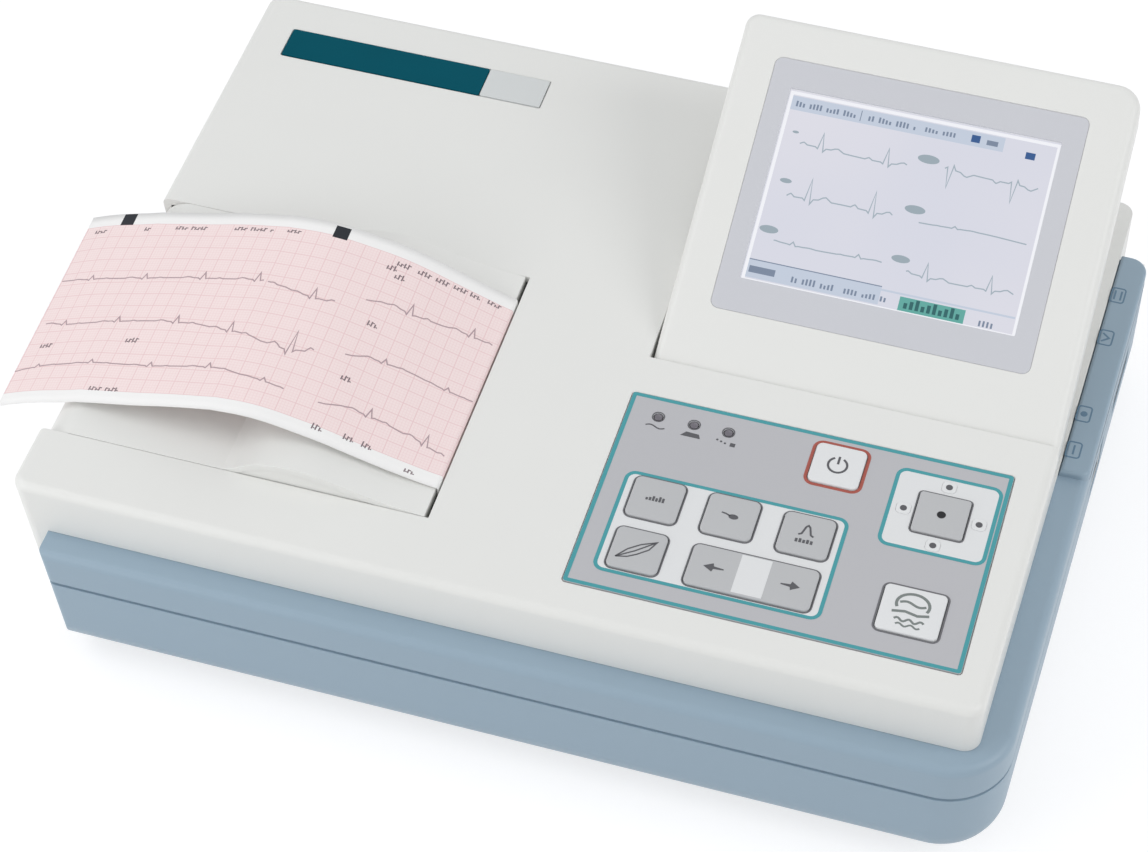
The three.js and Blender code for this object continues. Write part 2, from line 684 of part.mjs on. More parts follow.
place('paper_door', door, whiteShell);

// Hinge pin of the door, held in the side walls of the printer tray
const trayWall = 2;
const traySideGap = gap;
const trayFront = bayFront - traySideGap - trayWall;
const trayBack = bayBack + traySideGap + trayWall;
place('door_pin', rod('y', doorAxisX, doorAxisZ, pinRadius, trayFront, trayBack, 16), steel);

// Platen: a rubber roller on a steel shaft in two bushes, with its gear at the
// rear. An idler on the tray and the motor's pinion drive it.
const gearModule = 0.7;
const gearWidth = 3;
const gearFront = ribFronts[1] + ribThickness + gap;
const gearBack = gearFront + gearWidth;
const shaftFront = ribFronts[0] - gap;
const toothBacklash = 0.24;
const meshSlack = 0.12;
const addendumShare = 0.85;
const dedendumShare = 1.2;
const pressure = 20 * Math.PI / 180;
const involute = (angle) => Math.tan(angle) - angle;

function gearRadii(teeth) {
  const pitch = gearModule * teeth / 2;
  return { pitch, tip: pitch + addendumShare * gearModule, root: pitch - dedendumShare * gearModule,
    base: pitch * Math.cos(pressure) };
}

// Outline of a spur gear, its first tooth centred on the given angle
function gearShape(teeth, x, z, phase) {
  const { pitch, tip, root, base } = gearRadii(teeth);
  const halfAtPitch = Math.PI / (2 * teeth) - toothBacklash / (2 * pitch);
  const flank = [root, pitch, tip].map((radius) => {
    const at = Math.acos(Math.min(base / radius, 1));
    return [radius, halfAtPitch + involute(pressure) - involute(at)];
  });
  const points = [];
  for (let tooth = 0; tooth < teeth; tooth++) {
    const middle = phase + tooth * 2 * Math.PI / teeth;
    const outline = [...flank.map(([r, half]) => [r, middle - half]),
      ...flank.toReversed().map(([r, half]) => [r, middle + half])];
    points.push(...outline.map(([r, angle]) => [x + r * Math.cos(angle), z + r * Math.sin(angle)]));
  }
  return polygon(points);
}

const platenTeeth = 20;
const idlerTeeth = 24;
const pinionTeeth = 12;
const platenPitch = gearRadii(platenTeeth).pitch;
const idlerPitch = gearRadii(idlerTeeth).pitch;
const pinionPitch = gearRadii(pinionTeeth).pitch;
const idlerX = platenX;
const idlerZ = platenZ - platenPitch - idlerPitch - meshSlack;
const idlerPhase = Math.PI / 2 + Math.PI / idlerTeeth;
const pinionAngle = -35 * Math.PI / 180;
const pinionReach = idlerPitch + pinionPitch + meshSlack;
const pinionX = idlerX + pinionReach * Math.cos(pinionAngle);
const pinionZ = idlerZ + pinionReach * Math.sin(pinionAngle);
const idlerStep = 2 * Math.PI / idlerTeeth;
const pinionStep = 2 * Math.PI / pinionTeeth;
const meshSteps = (pinionAngle - idlerPhase) / idlerStep;
const meshShare = meshSteps - Math.floor(meshSteps);
const pinionPhase = pinionAngle + Math.PI + (meshShare + 0.5) * pinionStep;

const rubber = cut(rod('y', platenX, platenZ, platenRadius, paperFront - rubberOver,
  paperBack + rubberOver, 24),
rod('y', platenX, platenZ, shaftRadius + gap, bayFront, bayBack, 16));
place('platen_rubber', rubber, rubberBlack);
place('platen_shaft', rod('y', platenX, platenZ, shaftRadius, shaftFront, gearBack, 16), steel);
place('platen_gear', cut(
  prism(gearShape(platenTeeth, platenX, platenZ, -Math.PI / 2), gearFront, gearBack, 'y'),
  rod('y', platenX, platenZ, shaftRadius + gap, bayFront, bayBack, 16)), gearNylon);
for (const [i, from] of ribFronts.entries()) {
  const bush = cut(rod('y', platenX, platenZ, bushRadius, from, from + ribThickness),
    rod('y', platenX, platenZ, shaftRadius + gap, bayFront, bayBack, 16));
  place(`platen_bush_${['front', 'rear'][i]}`, bush, gearNylon);
}
const axleRadius = 1.5;
place('idler_gear', cut(
  prism(gearShape(idlerTeeth, idlerX, idlerZ, idlerPhase), gearFront, gearBack, 'y'),
  rod('y', idlerX, idlerZ, axleRadius + gap, bayFront, bayBack, 12)), gearNylon);
const motorShaft = 1.2;
place('motor_pinion', cut(
  prism(gearShape(pinionTeeth, pinionX, pinionZ, pinionPhase), gearFront, gearBack, 'y'),
  rod('y', pinionX, pinionZ, motorShaft + gap, bayFront, bayBack, 12)), steel);

// Printer tray: an open box under the bay that holds the folded paper, the
// idler's axle, the motor and the head.
const trayLeft = 9.5;
const trayLength = 142.5;
const trayRight = trayLeft + trayLength;
const trayDrop = 46; // its floor's underside below the top
const trayFloor = topHeight - trayDrop;
const trayTop = plateUnder - gap;
const traySideLeft = 5.8;
const traySideDrop = 24;
const guideThickness = 1.5;
const packRise = 24;
const guideHeight = 18;
const motorRadius = 12;
const motorLength = 22;
const motorNeck = 4.5;
const packRight = packLeft + packLength;
const trayBox = cut(box(trayLeft, trayRight, trayFront, trayBack, trayFloor, trayTop),
  box(trayLeft + trayWall, trayRight - trayWall, trayFront + trayWall, trayBack - trayWall,
    trayFloor + trayWall, trayTop + overrun),
  box(trayLeft - overrun, trayLeft + 2 * trayWall, trayFront + trayWall, trayBack - trayWall,
    topHeight - traySideDrop, trayTop + overrun));
let tray = trayBox;
for (const from of [trayFront, trayBack - trayWall]) {
  tray = join(tray, box(traySideLeft, trayLeft + trayWall, from, from + trayWall,
    doorAxisZ - armRadius, trayTop));
}
for (const from of [paperFront - 2 * gap - guideThickness, paperBack + 2 * gap]) {
  tray = join(tray, box(packLeft, packRight, from, from + guideThickness, trayFloor,
    trayFloor + trayWall + guideHeight));
}
for (const from of [packLeft - 2 * gap - guideThickness, packRight + 2 * gap]) {
  tray = join(tray, box(from, from + guideThickness, paperFront, paperBack, trayFloor,
    trayFloor + trayWall + guideHeight / 2));
}
tray = join(tray,
  rod('y', idlerX, idlerZ, axleRadius, gearFront, trayBack - trayWall / 2, 12),
  rod('y', idlerX, idlerZ, 2 * axleRadius, gearBack + gap, trayBack - trayWall / 2, 12));
tray = cut(tray,
  rod('y', doorAxisX, doorAxisZ, pinRadius + gap, trayFront - overrun, trayBack + overrun, 16),
  rod('y', pinionX, pinionZ, motorNeck + gap, trayBack - overrun, trayBack + overrun, 16));
place('printer_tray', tray, trayGray);
const motorFront = trayBack + gap;
place('feed_motor', join(
  rod('y', pinionX, pinionZ, motorRadius, motorFront, motorFront + motorLength, 24),
  rod('y', pinionX, pinionZ, motorNeck, gearBack + 2 * gap, motorFront + gap, 16),
  rod('y', pinionX, pinionZ, motorShaft, gearFront, motorFront, 10)), steel);

// Print head: a finned aluminium block pressed against the platen by two
// springs, between the arms of a steel bracket.
const headFace = slotX + gap;
const headThickness = 6;
const headDrop = 4;
const headTop = topHeight - headDrop;
const headHeight = 18;
const headBottom = headTop - headHeight;
const headFins = 4;
const finDepth = 2.5;
const springRoom = 5.8; // between the head and its bracket
const bracketPlate = 2;
const bracketFoot = 10;
const bracketBack = headFace + headThickness + springRoom + bracketPlate;
let head = box(headFace, headFace + headThickness, paperFront, paperBack, headBottom, headTop);
for (let i = 0; i < headFins; i++) {
  const middle = headBottom + (i + 0.5) / headFins * (headTop - headBottom);
  head = cut(head, box(headFace + headThickness - finDepth, headFace + headThickness + overrun,
    paperFront - overrun, paperBack + overrun, middle - finDepth / 2, middle + finDepth / 2));
}
place('print_head', head, aluminium);
const armFront = paperFront - gap - bracketPlate;
const armBack = paperBack + gap;
place('head_bracket', join(
  box(bracketBack - bracketPlate, bracketBack, armFront, armBack + bracketPlate,
    trayFloor + trayWall + gap, headTop),
  box(bracketBack - gap, bracketBack + bracketFoot, armFront, armBack + bracketPlate,
    trayFloor + trayWall + gap, trayFloor + trayWall + gap + bracketPlate),
  box(headFace, bracketBack - gap, armFront, armFront + bracketPlate, headBottom, headTop),
  box(headFace, bracketBack - gap, armBack, armBack + bracketPlate, headBottom, headTop)), steel);

// Compression springs: a round wire on a helix, with the ends square to it
const springRadius = 2.4;
const springWire = 0.9;
const springTurns = 4;
const springSides = 5;
const springSteps = 8;
const springShares = [0.3, 0.7];
const springLength = bracketBack - bracketPlate - headFace - headThickness - 2 * gap - springWire;
class Helix extends THREE.Curve {
  getPoint(t, target = new THREE.Vector3()) {
    const angle = 2 * Math.PI * springTurns * t;
    return target.set(t * springLength, springRadius * Math.cos(angle), springRadius * Math.sin(angle));
  }
}
const finGap = (headTop - headBottom) / headFins;
for (const [i, share] of springShares.entries()) {
  const wire = new THREE.ExtrudeGeometry(circle(0, 0, springWire / 2), {
    steps: springTurns * springSteps, curveSegments: springSides / 2, extrudePath: new Helix(),
    bevelEnabled: false,
  });
  wire.translate(headFace + headThickness + gap + springWire / 2,
    paperFront + share * paperWidth, headTop - 2 * finGap);
  place(`head_spring_${['front', 'rear'][i]}`, solid(wire), steel);
}

// Folded paper: a pack of leaves in the tray, and the printed strip, which
// goes round the platen, leaves by the slot and arches over the door.
const leafFolds = 10;
const foldDepth = 1.2;
const packBase = trayFloor + trayWall + gap;
const foldRise = packRise / leafFolds;
const foldEdge = (x, inward) => Array.from({ length: 2 * leafFolds + 1 }, (_, i) =>
  [x + (i % 2 ? 0 : inward * foldDepth), packBase + i * foldRise / 2]);
place('paper_pack', prism(polygon([...foldEdge(packRight, -1), ...foldEdge(packLeft, 1).reverse()]),
  paperFront, paperBack, 'y'), paperPink);

const archReach = 144.9;
const archHeight = 12.9;
const archLift = 4.3; // the rear edge rides higher than the front
const archShares = [[0, 0], [0.03, 0.05], [0.1, 0.22], [0.19, 0.5], [0.285, 0.81], [0.386, 1],
  [0.486, 0.97], [0.6, 0.7], [0.752, 0.25], [0.881, -0.2], [0.945, -0.48], [1, -0.76]];
const liftShare = 0.16; // by here the rear edge has its full lift
const archSteps = 22;
const wrapSteps = 7;
const wrapStart = -100 * Math.PI / 180;
const slotPaper = slotX - paperThickness / 2;
function stripEdge(lift) {
  const wrap = Array.from({ length: wrapSteps + 1 }, (_, i) => {
    const angle = wrapStart * (1 - i / wrapSteps);
    const radius = slotPaper - platenX;
    return new THREE.Vector2(platenX + radius * Math.cos(angle), platenZ + radius * Math.sin(angle));
  });
  const curve = new THREE.SplineCurve(archShares.map(([along, up]) => new THREE.Vector2(
    slotPaper - along * archReach,
    topHeight + 2 * gap + up * archHeight + lift * Math.min(along / liftShare, 1))));
  const rise = new THREE.Vector2(slotPaper, topHeight - doorThickness);
  return [...wrap, rise, ...curve.getPoints(archSteps)];
}
function stripSolid(frontEdge, rearEdge, y0, y1) {
  const offsets = (edge) => edge.map((point, i) => {
    const before = edge[Math.max(i - 1, 0)];
    const after = edge[Math.min(i + 1, edge.length - 1)];
    const along = after.clone().sub(before).normalize().multiplyScalar(paperThickness / 2);
    return [point, new THREE.Vector2(-along.y, along.x)];
  });
  const front = offsets(frontEdge);
  const rear = offsets(rearEdge);
  return loft(front.map(([point, side], i) => {
    const [rearPoint, rearSide] = rear[i];
    const at = (base, shift, sign, y) => new THREE.Vector3(base.x + sign * shift.x, y,
      base.y + sign * shift.y);
    return [at(point, side, 1, y0), at(point, side, -1, y0),
      at(rearPoint, rearSide, -1, y1), at(rearPoint, rearSide, 1, y1)];
  }));
}
const strip = stripSolid(stripEdge(0), stripEdge(archLift), paperFront, paperBack);
place('paper_strip', strip, paperPink);

// Display: two half shells round the screen, made in the hinge's own frame,
// where Y runs up the face and Z out of it.
const display = new THREE.Group();
display.position.set(0, hingeY, hingeZ);
display.rotation.x = displayTilt;
body.add(display);
const displayRightGap = 0.9;
const displayRightX = bodyWidth - displayRightGap;
const half = displayThickness / 2;
const displayWall = 2.2;
const faceRound = 3;
const displayCorner = 7;
function displayForm(inset) {
  const high = Math.max(faceRound - inset, leastCorner);
  const level = (edge, z) => ring(displayLeft + inset + edge, displayRightX - inset - edge,
    -half + inset, displayLength - inset - edge,
    [leastCorner, leastCorner, displayCorner - inset - edge, displayCorner - inset - edge], z);
  const side = quarterTurns.map((turn) => [high * (1 - Math.cos(turn)),
    half - inset - high * (1 - Math.sin(turn))]);
  const slab = loft([...side.toReversed().map(([edge, z]) => level(edge, -z)),
    ...side.map(([edge, z]) => level(edge, z))]);
  const nose = new THREE.Shape();
  nose.absarc(0, 0, half - inset, Math.PI / 2, 3 * Math.PI / 2);
  nose.lineTo(displayLength + overrun, -half + inset);
  nose.lineTo(displayLength + overrun, half - inset);
  nose.closePath();
  return slab.intersect(prism(nose, displayLeft - overrun, displayRightX + overrun, 'x', 9));
}
const displayShell = cut(displayForm(0), displayForm(displayWall));
const bezelLeftBorder = 13;
const bezelRightBorder = 16.3;
const bezelTopBorder = 13.9;
const bezelX0 = displayLeft + bezelLeftBorder;
const bezelX1 = displayRightX - bezelRightBorder;
const bezelY0 = 20.1;
const bezelY1 = displayLength - bezelTopBorder;
const bezelThickness = 0.7;
const bezelSunk = 0.2;
const bezelCorner = 4;
const bezelSide = 7; // bezel's width beside the screen
const bezelFoot = 11.3;
const bezelHead = 9.7;
const screenX0 = bezelX0 + bezelSide;
const screenX1 = bezelX1 - bezelSide;
const screenY0 = bezelY0 + bezelFoot;
const screenY1 = bezelY1 - bezelHead;
const moduleBorder = 3.5;
const moduleThickness = 8;
const all = (low) => box(0, bodyWidth + overrun, -half - overrun, displayLength + overrun,
  low ? -half - overrun : gap / 2, low ? -gap / 2 : half + overrun);
const screenHole = (grow) => prism(roundRect(screenX0 - grow, screenX1 + grow, screenY0 - grow,
  screenY1 + grow, leastCorner), 0, half + overrun, 'z', 1);
const bezelForm = (grow, z0, z1) => prism(roundRect(bezelX0 - grow, bezelX1 + grow,
  bezelY0 - grow, bezelY1 + grow, bezelCorner), z0, z1, 'z', 2);
const bezelTop = half - bezelSunk;
place('display_front', cut(displayShell.intersect(all(false)), screenHole(gap),
  bezelForm(gap, bezelTop - bezelThickness - gap, half + overrun)), whiteShell, display);
place('display_bezel', cut(bezelForm(0, bezelTop - bezelThickness, bezelTop), screenHole(0)),
  bezelGray, display);
const moduleTop = half - displayWall - gap;
place('screen_module', box(screenX0 - moduleBorder, screenX1 + moduleBorder,
  screenY0 - moduleBorder, screenY1 + moduleBorder, moduleTop - moduleThickness, moduleTop),
screenGlass, display);

// Hinges: the bracket's arm rises through the deck to the pin, and the leaf
// beside it is fixed to a boss in the display's back shell.
const knuckleRadius = 4.5;
const hingePin = 2;
const leafWidth = 7;
const leafReach = 24;
const leafPlate = 1.5;
const leafGap = 0.6;
const slotBehind = 4;
let backShell = displayShell.intersect(all(true));
for (const left of bracketLefts) {
  const leafLeft = left + bracketWidth + leafGap;
  backShell = cut(backShell, box(left - bracketSlack, left + bracketWidth + bracketSlack,
    -half - overrun, slotBehind, -half - overrun, 0));
  backShell = join(backShell, box(leafLeft, leafLeft + leafWidth, knuckleRadius + displayWall,
    leafReach, -half + displayWall - gap, -knuckleRadius - gap));
}
place('display_back', backShell, whiteShell, display);
for (const [i, left] of bracketLefts.entries()) {
  const side = ['left', 'right'][i];
  const leafLeft = left + bracketWidth + leafGap;
  const leaf = cut(join(
    rod('x', 0, 0, knuckleRadius, leafLeft, leafLeft + leafWidth, 16),
    box(leafLeft, leafLeft + leafWidth, 0, leafReach, -knuckleRadius, -knuckleRadius + leafPlate)),
  rod('x', 0, 0, hingePin + gap, leafLeft - overrun, leafLeft + leafWidth + overrun, 12));
  place(`hinge_leaf_${side}`, leaf, steel, display);
  const footTop = deckUnder - gap;
  place(`hinge_bracket_${side}`, join(
    rod('x', hingeY, hingeZ, knuckleRadius, left, left + bracketWidth, 16),
    box(left, left + bracketWidth, hingeY - armHalf, hingeY + armHalf, footTop - gap, hingeZ),
    box(left - leafWidth, left + bracketWidth + leafWidth, hingeY - armHalf,
      hingeY + leafReach, footTop - footPlate, footTop),
    rod('x', hingeY, hingeZ, hingePin, left + gap, leafLeft + leafWidth, 12)), steel);
}

// Boards and supply on the base, the sockets on the board's right-hand edge
// and the mains inlet in the rear wall
const chipHeight = 3;
const capRadius = 8;
const capHeight = 22;
const boardTop = boardZ + boardThickness;
place('main_board', cut(join(
  box(boardX0, boardX1, boardY0, boardY1, boardZ, boardTop),
  box(sideBoardX0, boardX1, boardY1 - gap, sideBoardY1, boardZ, boardTop),
  box(boardX0 + boardY1 / 3, boardX0 + 2 * boardY1 / 3, boardY1 / 3, 2 * boardY1 / 3,
    boardTop - gap, boardTop + chipHeight)),
...screwPlaces.map(([, x, y]) => rod('z', x, y, bossRadius + gap, 0, topHeight, 16))), boardGreen);
const supplyTop = supplyZ + boardThickness;
place('power_supply', join(
  box(supplyX0, supplyX1, supplyY0, supplyY1, supplyZ, supplyTop),
  box(supplyX1 - 4 * capRadius, supplyX1 - capRadius, motorFront + motorLength + 2 * gap,
    supplyY1 - capRadius / 2, supplyTop - gap, supplyTop + capHeight),
  rod('z', supplyX0 + 2 * capRadius, supplyY1 - 2 * capRadius, capRadius, supplyTop - gap,
    supplyTop + capHeight, 16)), boardGreen);

const socketDepth = 14;
const socketBack = sideFace - socketDepth;
const patientFlange = 6; // metal flange past each end of the shell
const patientCorner = 2;
const flangePlate = 1.2;
const patientMiddle = socketBottom + 3 * patientHeight / 4 + gap;
const pinHole = 0.6;
const pinPitch = 2.8;
const pinRows = [8, 7];
let patientSocket = join(
  box(sideFace - caseWall - gap - flangePlate, sideFace - caseWall - gap,
    patientY - patientWidth / 2 - patientFlange, patientY + patientWidth / 2 + patientFlange,
    patientMiddle - patientHeight / 2 - 2 * flangePlate, patientMiddle + patientHeight / 2 + flangePlate),
  prism(roundRect(patientY - patientWidth / 2, patientY + patientWidth / 2,
    patientMiddle - patientHeight / 2 + gap, patientMiddle + patientHeight / 2 - gap, patientCorner),
  socketBack, sideFace - gap, 'x', 2));
for (const [row, count] of pinRows.entries()) {
  for (let i = 0; i < count; i++) {
    patientSocket = cut(patientSocket, rod('x', patientY + (i - (count - 1) / 2) * pinPitch,
      patientMiddle + (row - 0.5) * pinPitch, pinHole, sideFace - caseWall, sideFace + overrun, 6));
  }
}
place('patient_socket', patientSocket, darkPlastic);
const portWall = 2;
place('network_socket', cut(
  box(socketBack, sideFace - gap, networkY - networkWidth / 2, networkY + networkWidth / 2,
    socketBottom, socketBottom + networkHeight),
  box(socketBack + portWall, sideFace + overrun, networkY - networkWidth / 2 + portWall,
    networkY + networkWidth / 2 - portWall, socketBottom + portWall,
    socketBottom + networkHeight - portWall),
  box(socketBack + portWall, sideFace + overrun, networkY - portWall, networkY + portWall,
    socketBottom + networkHeight - 2 * portWall, socketBottom + networkHeight - portWall / 2)),
aluminium);

const inletDepth = 20;
const inletWall = 2;
const bladeLength = 9;
const bladeShares = [[-0.29, -0.08], [0, 0.12], [0.29, -0.08]];
const bladeWidth = 2;
const bladeHeight = 4;
const inletFace = bodyDepth - gap;
let inlet = cut(join(
  box(inletX - inletWidth / 2, inletX + inletWidth / 2, inletFace - inletDepth, inletFace,
    inletZ - inletHeight / 2, inletZ + inletHeight / 2),
  box(inletX - inletWidth / 2 - inletFlange, inletX + inletWidth / 2 + inletFlange,
    bodyDepth - coverWall - gap - inletWall, bodyDepth - coverWall - gap,
    inletZ - inletHeight / 2 - gap, inletZ + inletHeight / 2 + gap)),
prism(roundRect(inletX - inletWidth / 2 + inletWall, inletX + inletWidth / 2 - inletWall,
  inletZ - inletHeight / 2 + inletWall, inletZ + inletHeight / 2 - inletWall, 2 * inletWall),
inletFace - inletDepth + inletWall, inletFace + overrun, 'y', 2));
for (const [along, up] of bladeShares) {
  const x = inletX + along * inletWidth;
  const z = inletZ + up * inletHeight;
  inlet = join(inlet, box(x - bladeWidth / 2, x + bladeWidth / 2, inletFace - inletDepth + gap,
    inletFace - inletDepth + inletWall + bladeLength, z - bladeHeight / 2, z + bladeHeight / 2));
}
place('mains_inlet', inlet, darkPlastic);

// Origin: under the middle of the whole part, on the table
const middle = new THREE.Box3().setFromObject(body).getCenter(new THREE.Vector3());
body.position.set(-middle.x, -middle.y, 0);

export default ecgMachine;
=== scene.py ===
import bisect
import json
import math
import bmesh
import bpy
from mathutils import Matrix, Vector

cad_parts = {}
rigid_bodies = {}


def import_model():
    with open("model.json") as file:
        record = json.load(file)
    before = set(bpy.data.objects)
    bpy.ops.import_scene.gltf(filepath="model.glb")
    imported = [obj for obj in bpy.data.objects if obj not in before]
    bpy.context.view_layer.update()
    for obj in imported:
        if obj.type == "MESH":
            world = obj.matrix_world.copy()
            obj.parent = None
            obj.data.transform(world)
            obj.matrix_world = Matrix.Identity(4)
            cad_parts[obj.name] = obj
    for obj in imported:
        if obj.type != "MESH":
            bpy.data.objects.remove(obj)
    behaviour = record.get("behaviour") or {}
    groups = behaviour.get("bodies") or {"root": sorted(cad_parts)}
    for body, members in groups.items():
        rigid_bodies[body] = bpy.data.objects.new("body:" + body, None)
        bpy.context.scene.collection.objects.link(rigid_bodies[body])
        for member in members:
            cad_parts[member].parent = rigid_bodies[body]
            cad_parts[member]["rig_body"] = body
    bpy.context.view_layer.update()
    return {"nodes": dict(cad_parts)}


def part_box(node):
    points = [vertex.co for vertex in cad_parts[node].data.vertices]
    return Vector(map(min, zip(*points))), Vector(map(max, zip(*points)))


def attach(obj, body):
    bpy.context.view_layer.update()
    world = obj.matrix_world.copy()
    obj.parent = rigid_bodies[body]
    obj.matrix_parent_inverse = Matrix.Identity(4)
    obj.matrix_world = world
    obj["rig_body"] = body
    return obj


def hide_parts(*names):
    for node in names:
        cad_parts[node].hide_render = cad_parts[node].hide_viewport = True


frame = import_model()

# Camera: it stands where the photograph was taken from, above the front right
# corner, with a long lens.
azimuth, elevation, roll = (math.radians(degrees) for degrees in (17.20, 49.82, -0.53))
camera_place, lens, sensor, far_end = (0.19246, -0.62813, 0.79904), 97.98, 36, 20
backwards = Vector((math.sin(azimuth) * math.cos(elevation),
                    -math.cos(azimuth) * math.cos(elevation), math.sin(elevation)))
level = Vector((math.cos(azimuth), math.sin(azimuth), 0))
upright = backwards.cross(level)
camera = bpy.data.objects.new("camera", bpy.data.cameras.new("camera"))
camera.data.sensor_width, camera.data.lens, camera.data.clip_end = sensor, lens, far_end
camera.matrix_world = Matrix((
    level * math.cos(roll) + upright * math.sin(roll),
    upright * math.cos(roll) - level * math.sin(roll),
    backwards)).transposed().to_4x4()
camera.matrix_world.translation = camera_place
bpy.context.scene.collection.objects.link(camera)
bpy.context.scene.camera = camera
bpy.context.scene.view_settings.view_transform = "Standard"

# Studio: a white floor that shows the background's white and keeps a soft
# shadow, a plain pale surround and large soft lamps.
floor_size, floor_depth, floor_glow = 4, 0.0002, 0.66
room_strength, backdrop_strength = 0.57, 1
lamp_target = Vector((0, 0, 0.03))
lamps = [  # name, place, size, watts
    ("above_left", (-0.9, -0.2, 1.0), 0.9, 3.2),
    ("front_left", (-0.9, -1.0, 0.5), 0.9, 4.6),
    ("right", (1.2, -0.1, 0.9), 0.9, 5.5),
    ("rear", (0.1, 1.3, 0.9), 0.9, 1.2),
]


def maths(operation, second=None):
    """A node's kind and settings for fill"""
    return "Math", {"operation": operation, **({} if second is None else {1: second})}


def fill(tree, kinds, joins):
    """Add named nodes with their settings to a tree, and join outputs to inputs"""
    for name, (kind, settings) in kinds.items():
        node = tree.nodes.new(kind if kind.startswith("Node") else "ShaderNode" + kind)
        node.name = name
        for key, value in settings.items():
            if isinstance(key, str) and hasattr(node, key):
                setattr(node, key, value)
            else:
                node.inputs[key].default_value = value
    for source, result, target, entry in joins:
        tree.links.new(tree.nodes[source].outputs[result], tree.nodes[target].inputs[entry])


floor_form = bmesh.new()
bmesh.ops.create_grid(floor_form, x_segments=1, y_segments=1, size=floor_size)
bmesh.ops.translate(floor_form, vec=(0, 0, -floor_depth), verts=floor_form.verts)
floor = bpy.data.objects.new("floor", bpy.data.meshes.new("floor"))
floor_form.to_mesh(floor.data)
floor_form.free()
bpy.context.scene.collection.objects.link(floor)
floor_paint = bpy.data.materials.new("studio floor")
world = bpy.data.worlds.new("studio")
for lit_by_nodes in (floor_paint, world):
    lit_by_nodes.use_nodes = True
    lit_by_nodes.node_tree.nodes.clear()
fill(floor_paint.node_tree, {
    "end": ("OutputMaterial", {}), "choice": ("MixShader", {}), "sum": ("AddShader", {}),
    "unseen": ("BsdfDiffuse", {"Color": (0.80, 0.80, 0.80, 1)}),
    "seen": ("BsdfDiffuse", {"Color": (0.46, 0.46, 0.47, 1)}),
    "glow": ("Emission", {"Strength": floor_glow}), "rays": ("LightPath", {}),
    "direct": maths("MAXIMUM"), "in view": maths("MAXIMUM"),
}, [("rays", "Is Camera Ray", "direct", 0), ("rays", "Is Glossy Ray", "direct", 1),
    ("direct", 0, "in view", 0), ("rays", "Is Transmission Ray", "in view", 1),
    ("in view", 0, "choice", "Fac"), ("unseen", 0, "choice", 1), ("seen", 0, "sum", 0),
    ("glow", 0, "sum", 1), ("sum", 0, "choice", 2), ("choice", 0, "end", "Surface")])
floor.data.materials.append(floor_paint)
bpy.context.scene.world = world
fill(world.node_tree, {
    "end": ("OutputWorld", {}), "choice": ("MixShader", {}),
    "room": ("Background", {"Color": (0.97, 0.985, 1, 1), "Strength": room_strength}),
    "backdrop": ("Background", {"Strength": backdrop_strength}),
    "rays": ("LightPath", {}), "in view": maths("MAXIMUM"),
}, [("rays", "Is Camera Ray", "in view", 0), ("rays", "Is Transmission Ray", "in view", 1),
    ("in view", 0, "choice", "Fac"), ("room", 0, "choice", 1), ("backdrop", 0, "choice", 2),
    ("choice", 0, "end", "Surface")])
for lamp_name, place, size, watts in lamps:
    lamp = bpy.data.objects.new(lamp_name, bpy.data.lights.new(lamp_name, "AREA"))
    lamp.data.shape, lamp.data.size, lamp.data.energy = "DISK", size, watts
    lamp.location = place
    lamp.rotation_mode = "QUATERNION"
    lamp.rotation_quaternion = (Vector(place) - lamp_target).to_track_quat("Z", "Y")
    bpy.context.scene.collection.objects.link(lamp)

# Lower case: a gray-blue moulding with the floor and four screw posts. Its front
# and right-hand walls stand outside the white body, and everything is drawn in
# millimetres from the body's front left corner.
cover_low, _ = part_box("top_cover")
to_part = Matrix.Translation((cover_low.x, cover_low.y, 0)) @ Matrix.Scale(0.001, 4)
body_x, body_y = 303.5, 229
side_x, front_y = 313, -9
foot_z, part_line, ledge_z, top_z = 3.5, 36.3, 50.5, 70
all_over = (-20, 330, -20, 240)  # a field wider than the machine
gap = 0.3
weld, flat_angle = 0.0005, math.radians(0.6)


def cube(x0, x1, y0, y1, z0, z1):
    form = bmesh.new()
    bmesh.ops.create_cube(form, size=1)
    bmesh.ops.scale(form, vec=(x1 - x0, y1 - y0, z1 - z0), verts=form.verts)
    bmesh.ops.translate(form, vec=((x0 + x1) / 2, (y0 + y1) / 2, (z0 + z1) / 2), verts=form.verts)
    return form


def around(field, grow):
    """A field given by x0, x1, y0 and y1, grown on all sides"""
    x0, x1, y0, y1 = field
    return x0 - grow, x1 + grow, y0 - grow, y1 + grow


def soften(form, edges, radius, steps):
    bmesh.ops.bevel(form, geom=edges, offset=radius, offset_type="OFFSET", segments=steps,
                    profile=0.5, affect="EDGES", clamp_overlap=False, material=-1)
    return form


def round_off(form, radius, steps, picked):
    """Round the edges whose two end points answer to picked"""
    return soften(form, [edge for edge in form.edges if picked(edge.verts[0].co, edge.verts[1].co)],
                  radius, steps)


def above(z):
    return lambda a, b: min(a.z, b.z) > z - 0.01


def below(z):
    return lambda a, b: max(a.z, b.z) < z + 0.01


def slab(x0, x1, y0, y1, z0, z1, corner, steps=6):
    """A plate with rounded upright corners"""
    return round_off(cube(x0, x1, y0, y1, z0, z1), corner, steps,
                     lambda a, b: abs(a.z - b.z) > 0.9 * (z1 - z0))


turns = {"x": Matrix.Rotation(math.pi / 2, 4, "Y"), "y": Matrix.Rotation(-math.pi / 2, 4, "X"),
         "z": Matrix.Identity(4)}


